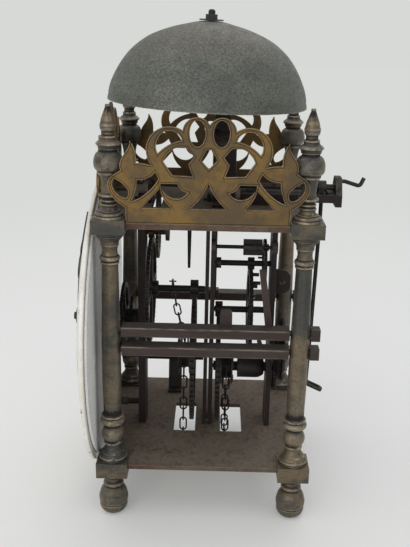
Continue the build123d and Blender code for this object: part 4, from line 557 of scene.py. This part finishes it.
def scribeOutline(node):
    # a thin dark line just inside every edge of a fret's outer face: an incised line's dirt and its painted
    # shade, laid on the face with no groove cut
    low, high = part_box(node)
    middle = (Vector(low) + Vector(high)) / 2
    outward = Vector((middle.x, middle.y, 0)).normalized()
    bm = copied(node)
    facing = [face for face in bm.faces if face.normal.dot(outward) > scribed["facing"]]
    limit = max(face.calc_center_median().dot(outward) for face in facing) - scribed["layer"]
    front = {face for face in facing if face.calc_center_median().dot(outward) > limit}
    bmesh.ops.delete(bm, geom=[face for face in bm.faces if face not in front], context="FACES")
    rims = [edge for edge in bm.edges if edge.is_boundary]
    sides = {}  # the two inward directions at each corner
    for edge in rims:
        loop = edge.link_loops[0]
        inward = outward.cross((loop.link_loop_next.vert.co - loop.vert.co).normalized())
        for vertex in edge.verts:
            sides.setdefault(vertex, []).append(inward)
    slide = {}
    for vertex, (first, second) in sides.items():
        bisector = first + second
        slide[vertex] = bisector / max(1 + first.dot(second), scribed["sharpest"])
    bmesh.ops.delete(bm, geom=list(bm.faces), context="FACES_ONLY")
    bmesh.ops.delete(bm, geom=[edge for edge in bm.edges if edge not in set(rims)], context="EDGES")
    for vertex, step in slide.items():
        vertex.co += step * scribed["inset"] + outward * scribed["lift"]
    steps = {tuple(vertex.co): step for vertex, step in slide.items()}
    made = bmesh.ops.extrude_edge_only(bm, edges=bm.edges[:])
    for vertex in (item for item in made["geom"] if isinstance(item, bmesh.types.BMVert)):
        vertex.co += steps[tuple(vertex.co)] * scribed["width"]
    for face in bm.faces:
        face.normal_update()
        if face.normal.dot(outward) < 0:
            face.normal_flip()
    bmesh.ops.solidify(bm, geom=bm.faces[:], thickness=scribed["depth"])
    finished(bm, node + "_scribed_line", "scribedBrass")


easing = {
    "largeFace": 150 * mm * mm,
    "sharp": math.radians(38),  # an edge that turns by more than this is a corner
    "level": 0.02,  # radians: one that turns by less lies within a flat face
    "flat": math.radians(0.8),  # triangles that differ by less become one face
}


def markFlats(bm):
    # a face is marked flat if it is large or edged all round by corners, so that it isn't worn by them
    flat = bm.faces.layers.float.new("flatness")
    for face in bm.faces:
        angles = [edge.calc_face_angle(0.0) for edge in face.edges]
        edged = all(angle > easing["sharp"] or angle < easing["level"] for angle in angles)
        face[flat] = float(edged or face.calc_area() > easing["largeFace"])
    return flat


def eased(node, finish, bevel, smoothAngle):
    # the same piece with its edges eased, as filed and handled metal has
    bm = copied(node)
    bmesh.ops.dissolve_limit(bm, angle_limit=easing["flat"], verts=bm.verts, edges=bm.edges)
    flat = markFlats(bm)
    rubbed = bm.faces.layers.float.new("rubbed")
    if bevel:
        sharp = easing["sharp"]
        corners = [edge for edge in bm.edges if edge.is_convex and edge.calc_face_angle(0.0) > sharp]
        made = bmesh.ops.bevel(bm, geom=corners, offset=bevel, offset_type="OFFSET", affect="EDGES",
                               segments=2, profile=0.5, clamp_overlap=True, material=-1)
        for face in made["faces"]:
            face[flat], face[rubbed] = 0.0, 1.0
    piece = finished(bm, node + "_eased", finish, nodes[node]["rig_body"], (node,), smoothAngle)
    if bevel:
        level = piece.modifiers.new("level", "WEIGHTED_NORMAL")  # flat faces stay flat beside a bevel
        level.mode, level.weight, level.keep_sharp = "FACE_AREA", 50, True


def profileLine(points, steps=10):
    # a smooth line through (radius, height) points, with this many steps between two of them
    line = []
    last = len(points) - 1
    for k in range(last):
        before, first = Vector(points[max(k - 1, 0)]), Vector(points[k])
        second, after = Vector(points[k + 1]), Vector(points[min(k + 2, last)])
        for step in range(steps):
            t = step / steps
            square = 2 * before - 5 * first + 4 * second - after
            cube = 3 * first - before - 3 * second + after
            line.append(0.5 * (2 * first + (second - before) * t + square * t * t + cube * t ** 3))
    line.append(Vector(points[-1]))
    return line


def spun(points, centre, axis, side, steps):
    # a closed (radius, height) outline turned about an axis; side is the direction of its radius
    bm = bmesh.new()
    corners = [bm.verts.new(centre + side * radius + axis * height) for radius, height in points]
    edges = [bm.edges.new((first, second)) for first, second in zip(corners, corners[1:] + corners[:1])]
    bmesh.ops.spin(bm, geom=corners + edges, cent=centre, axis=axis, angle=2 * math.pi, steps=steps,
                   use_merge=True)
    bmesh.ops.remove_doubles(bm, verts=bm.verts, dist=0.5 * merged)
    bmesh.ops.recalc_face_normals(bm, faces=bm.faces)
    return bm


# bell

bellSizes = {
    "centre": Vector((0.0, -3.1 * mm, 313.5 * mm)), "lean": math.radians(1.9), "radius": 75.7 * mm,
    "height": 59.5 * mm, "wall": 2.4 * mm,
    # shares of the radius and the height, from the rim to the hole in the crown
    "curve": [(1.0, 0.0), (0.970, 0.2), (0.890, 0.42), (0.784, 0.606), (0.655, 0.746), (0.530, 0.834),
              (0.366, 0.912), (0.22, 0.960), (0.122, 0.988), (0.045, 1.0)],
    "groove": {"height": 4.2 * mm, "half": 0.9 * mm, "depth": 0.35 * mm},
    "dents": 0.25 * mm, "wide": 22, "narrow": 60, "narrowShare": 0.5, "steps": 144, "smoothAngle": 40,
}


def makeBell():
    axis = Vector((0, math.sin(bellSizes["lean"]), math.cos(bellSizes["lean"])))
    radius, height = bellSizes["radius"], bellSizes["height"]
    outside = profileLine([(across * radius, up * height) for across, up in bellSizes["curve"]])
    groove = bellSizes["groove"]
    for point in outside:  # turned line above the lip
        if abs(point.y - groove["height"]) < groove["half"]:
            point.x -= groove["depth"]
    wall = bellSizes["wall"]
    hole = bellSizes["curve"][-1][0] * radius
    inside = []
    for k, point in enumerate(outside):
        run = outside[min(k + 1, len(outside) - 1)] - outside[max(k - 1, 0)]
        run.normalize()
        inside.append(Vector((max(point.x - wall * run.y, hole), max(point.y + wall * run.x, 0))))
    bm = spun(outside + inside[::-1], bellSizes["centre"], axis, Vector((1, 0, 0)), bellSizes["steps"])
    for vertex in bm.verts:
        wave = noise.noise(vertex.co * bellSizes["wide"])
        wave += bellSizes["narrowShare"] * noise.noise(vertex.co * bellSizes["narrow"])
        outward = (vertex.co - bellSizes["centre"]).normalized()
        vertex.co -= outward * abs(wave) * bellSizes["dents"]
    finished(bm, "bell_shell", "bellMetal", "root", ("bell",), bellSizes["smoothAngle"])


makeBell()


def domeHeight(radius):
    # how far the dial's front stands out from its seat at this radius
    rise = dialSizes["rise"] - dialSizes["edge"]
    sphere = (dialSizes["radius"] ** 2 + rise ** 2) / (2 * rise)
    return dialSizes["rise"] - sphere + math.sqrt(sphere ** 2 - radius ** 2)


def makeDial():
    edge, hole, wall, outer = (dialSizes[key] for key in ("edge", "hole", "wall", "radius"))
    count = dialSizes["rings"]
    frontEase, backEase = dialSizes["rimEase"]
    rings = [hole + (outer - hole) * k / count for k in range(count + 1)]
    front = [(radius, domeHeight(radius)) for radius in rings]
    front[-1] = (outer - frontEase, domeHeight(outer - frontEase))
    rim = [(outer, edge - frontEase), (outer, backEase), (outer - backEase, 0.0),
           (outer - dialSizes["rimFlat"], 0.0)]
    back = [(radius, domeHeight(radius) - wall) for radius in rings[-2::-1]]
    centre = Vector((0, dialSizes["seat"], dialSizes["height"]))
    bm = spun(front + rim + back, centre, Vector((0, -1, 0)), Vector((1, 0, 0)), dialSizes["steps"])
    finished(bm, "dial_enamel", "dialEnamel", "root", ("dial",), dialSizes["smoothAngle"])


numerals = {
    "foot": 72.0 * mm, "head": 98.0 * mm,  # inner and outer radius of the hour numerals
    "stroke": 3.1 * mm, "fine": 0.7 * mm, "lift": 0.05 * mm,
    "hours": ("I", "II", "III", "IIII", "V", "VI", "VII", "VIII", "IX", "X", "XI", "XII"), "hourAngle": 30,
    # in stroke widths: each stroke's place at its foot and head and its width, then the letter's room
    "letters": {
        "I": ([(0.5, 0.5, 1.0)], 1.75),
        "V": ([(1.6, 0.5, 1.1), (1.6, 3.0, 0.4)], 3.9),
        "X": ([(3.0, 0.5, 1.1), (0.5, 3.0, 0.4)], 3.9),
    },
    "gap": 0.75,
    "lozenge": {"end": 5 * mm, "middle": 13 * mm, "tip": 0.3 * mm, "width": 4.4 * mm},
    # radius and width of each ring; the quarter-hour marks stand between the first two
    "rings": [(70.5 * mm, 0.45 * mm), (66.0 * mm, 0.3 * mm), (100.0 * mm, 0.45 * mm),
              (104.0 * mm, 0.3 * mm)],
    "quarters": 48, "ringSteps": 96, "strokeSteps": 10,
}


def paintedStroke(bm, start, end, startWidth, endWidth):
    # a flat brush stroke between two points on the dial, given as (across, up) from its centre
    first, last = Vector(start), Vector(end)
    run = last - first
    grid = bmesh.ops.create_grid(bm, x_segments=2, y_segments=numerals["strokeSteps"], size=0.5)
    side = Vector((-run.y, run.x)).normalized()
    for vertex in grid["verts"]:
        along = vertex.co.y + 0.5
        width = startWidth + (endWidth - startWidth) * along
        point = first + run * along - side * vertex.co.x * width
        height = domeHeight(point.length) + numerals["lift"]
        vertex.co = Vector((point.x, dialSizes["seat"] - height, dialSizes["height"] + point.y))


def numeralStrokes(letters):
    # the strokes of a roman numeral about its middle, and its width, in stroke widths
    strokes, x = [], 0.0
    for letter in letters:
        made, room = numerals["letters"][letter]
        strokes += [(x + foot, x + head, weight) for foot, head, weight in made]
        x += room
    width = x - numerals["gap"]
    return [(foot - width / 2, head - width / 2, weight) for foot, head, weight in strokes], width


def polar(angle):
    # the direction on the dial that lies at this angle from three o'clock
    return Vector((math.cos(angle), math.sin(angle)))


def makeNumerals():
    bm = bmesh.new()
    low, high, unit, fine = (numerals[key] for key in ("foot", "head", "stroke", "fine"))
    lozenge, rings = numerals["lozenge"], numerals["rings"]
    for hour, letters in enumerate(numerals["hours"], 1):
        angle = math.radians(90 - numerals["hourAngle"] * hour)
        outward, along = polar(angle), Vector((math.sin(angle), -math.cos(angle)))
        strokes, width = numeralStrokes(letters)
        for foot, head, weight in strokes:
            paintedStroke(bm, outward * low + along * foot * unit, outward * high + along * head * unit,
                          weight * unit, weight * unit)
        ends = along * width / 2 * unit
        for radius in (low, high):  # serifs
            paintedStroke(bm, outward * radius - ends, outward * radius + ends, fine, fine)
        outward = polar(angle - math.radians(numerals["hourAngle"] / 2))  # half-hour lozenges
        foot, middle, head = low + lozenge["end"], low + lozenge["middle"], high - lozenge["end"]
        paintedStroke(bm, outward * foot, outward * middle, lozenge["tip"], lozenge["width"])
        paintedStroke(bm, outward * middle, outward * head, lozenge["width"], lozenge["tip"])
    for k in range(numerals["quarters"]):
        outward = polar(math.radians(360 * k / numerals["quarters"]))
        paintedStroke(bm, outward * rings[1][0], outward * rings[0][0], fine, fine)
    for radius, width in rings:
        for k in range(numerals["ringSteps"]):
            first, second = (math.radians(360 * (k + step) / numerals["ringSteps"]) for step in (0, 1))
            paintedStroke(bm, polar(first) * radius, polar(second) * radius, width, width)
    bmesh.ops.remove_doubles(bm, verts=bm.verts, dist=0.5 * merged)
    bmesh.ops.recalc_face_normals(bm, faces=bm.faces)
    for face in bm.faces:
        if face.normal.y > 0:
            face.normal_flip()
    finished(bm, "dial_numerals", "numeralBlack")


makeDial()
makeNumerals()
print("bell and dial made")

# the pieces that keep their shape, with their edges eased

keptPieces = {  # by the record's slot: finish, bevel width, and the bend in degrees that still looks smooth
    "cast_brass": ("pillarBrass", 0.14 * mm, 24),
    "fret_brass": ("fretBrass", 0.45 * mm, 32),
    "wheel_brass": ("wheelBrass", 0.15 * mm, 32),
    "frame_iron": ("barIron", 0.5 * mm, 32),
    "train_iron": ("trainIron", 0.15 * mm, 32),
    "plate_iron": ("plateIron", 0.5 * mm, 32),
    "chain_iron": ("chainIron", 0.0, 32),
    "hand_steel": ("blueSteel", 0.2 * mm, 32),
    "dial_enamel": ("backPaint", 0.3 * mm, 32),  # the plate behind the dial
}
paleIron = ("lifting_arbor", "detent_arbor", "hammer")  # frame iron with a finish of its own
for node in sorted(set(nodes) - {"bell", "dial"}):
    finish, bevel, smoothAngle = keptPieces[slots[node]]
    if node in paleIron:
        finish = "arborIron"
    eased(node, finish, bevel, smoothAngle)
    if node.startswith("fret_"):
        scribeOutline(node)
print("pieces eased")
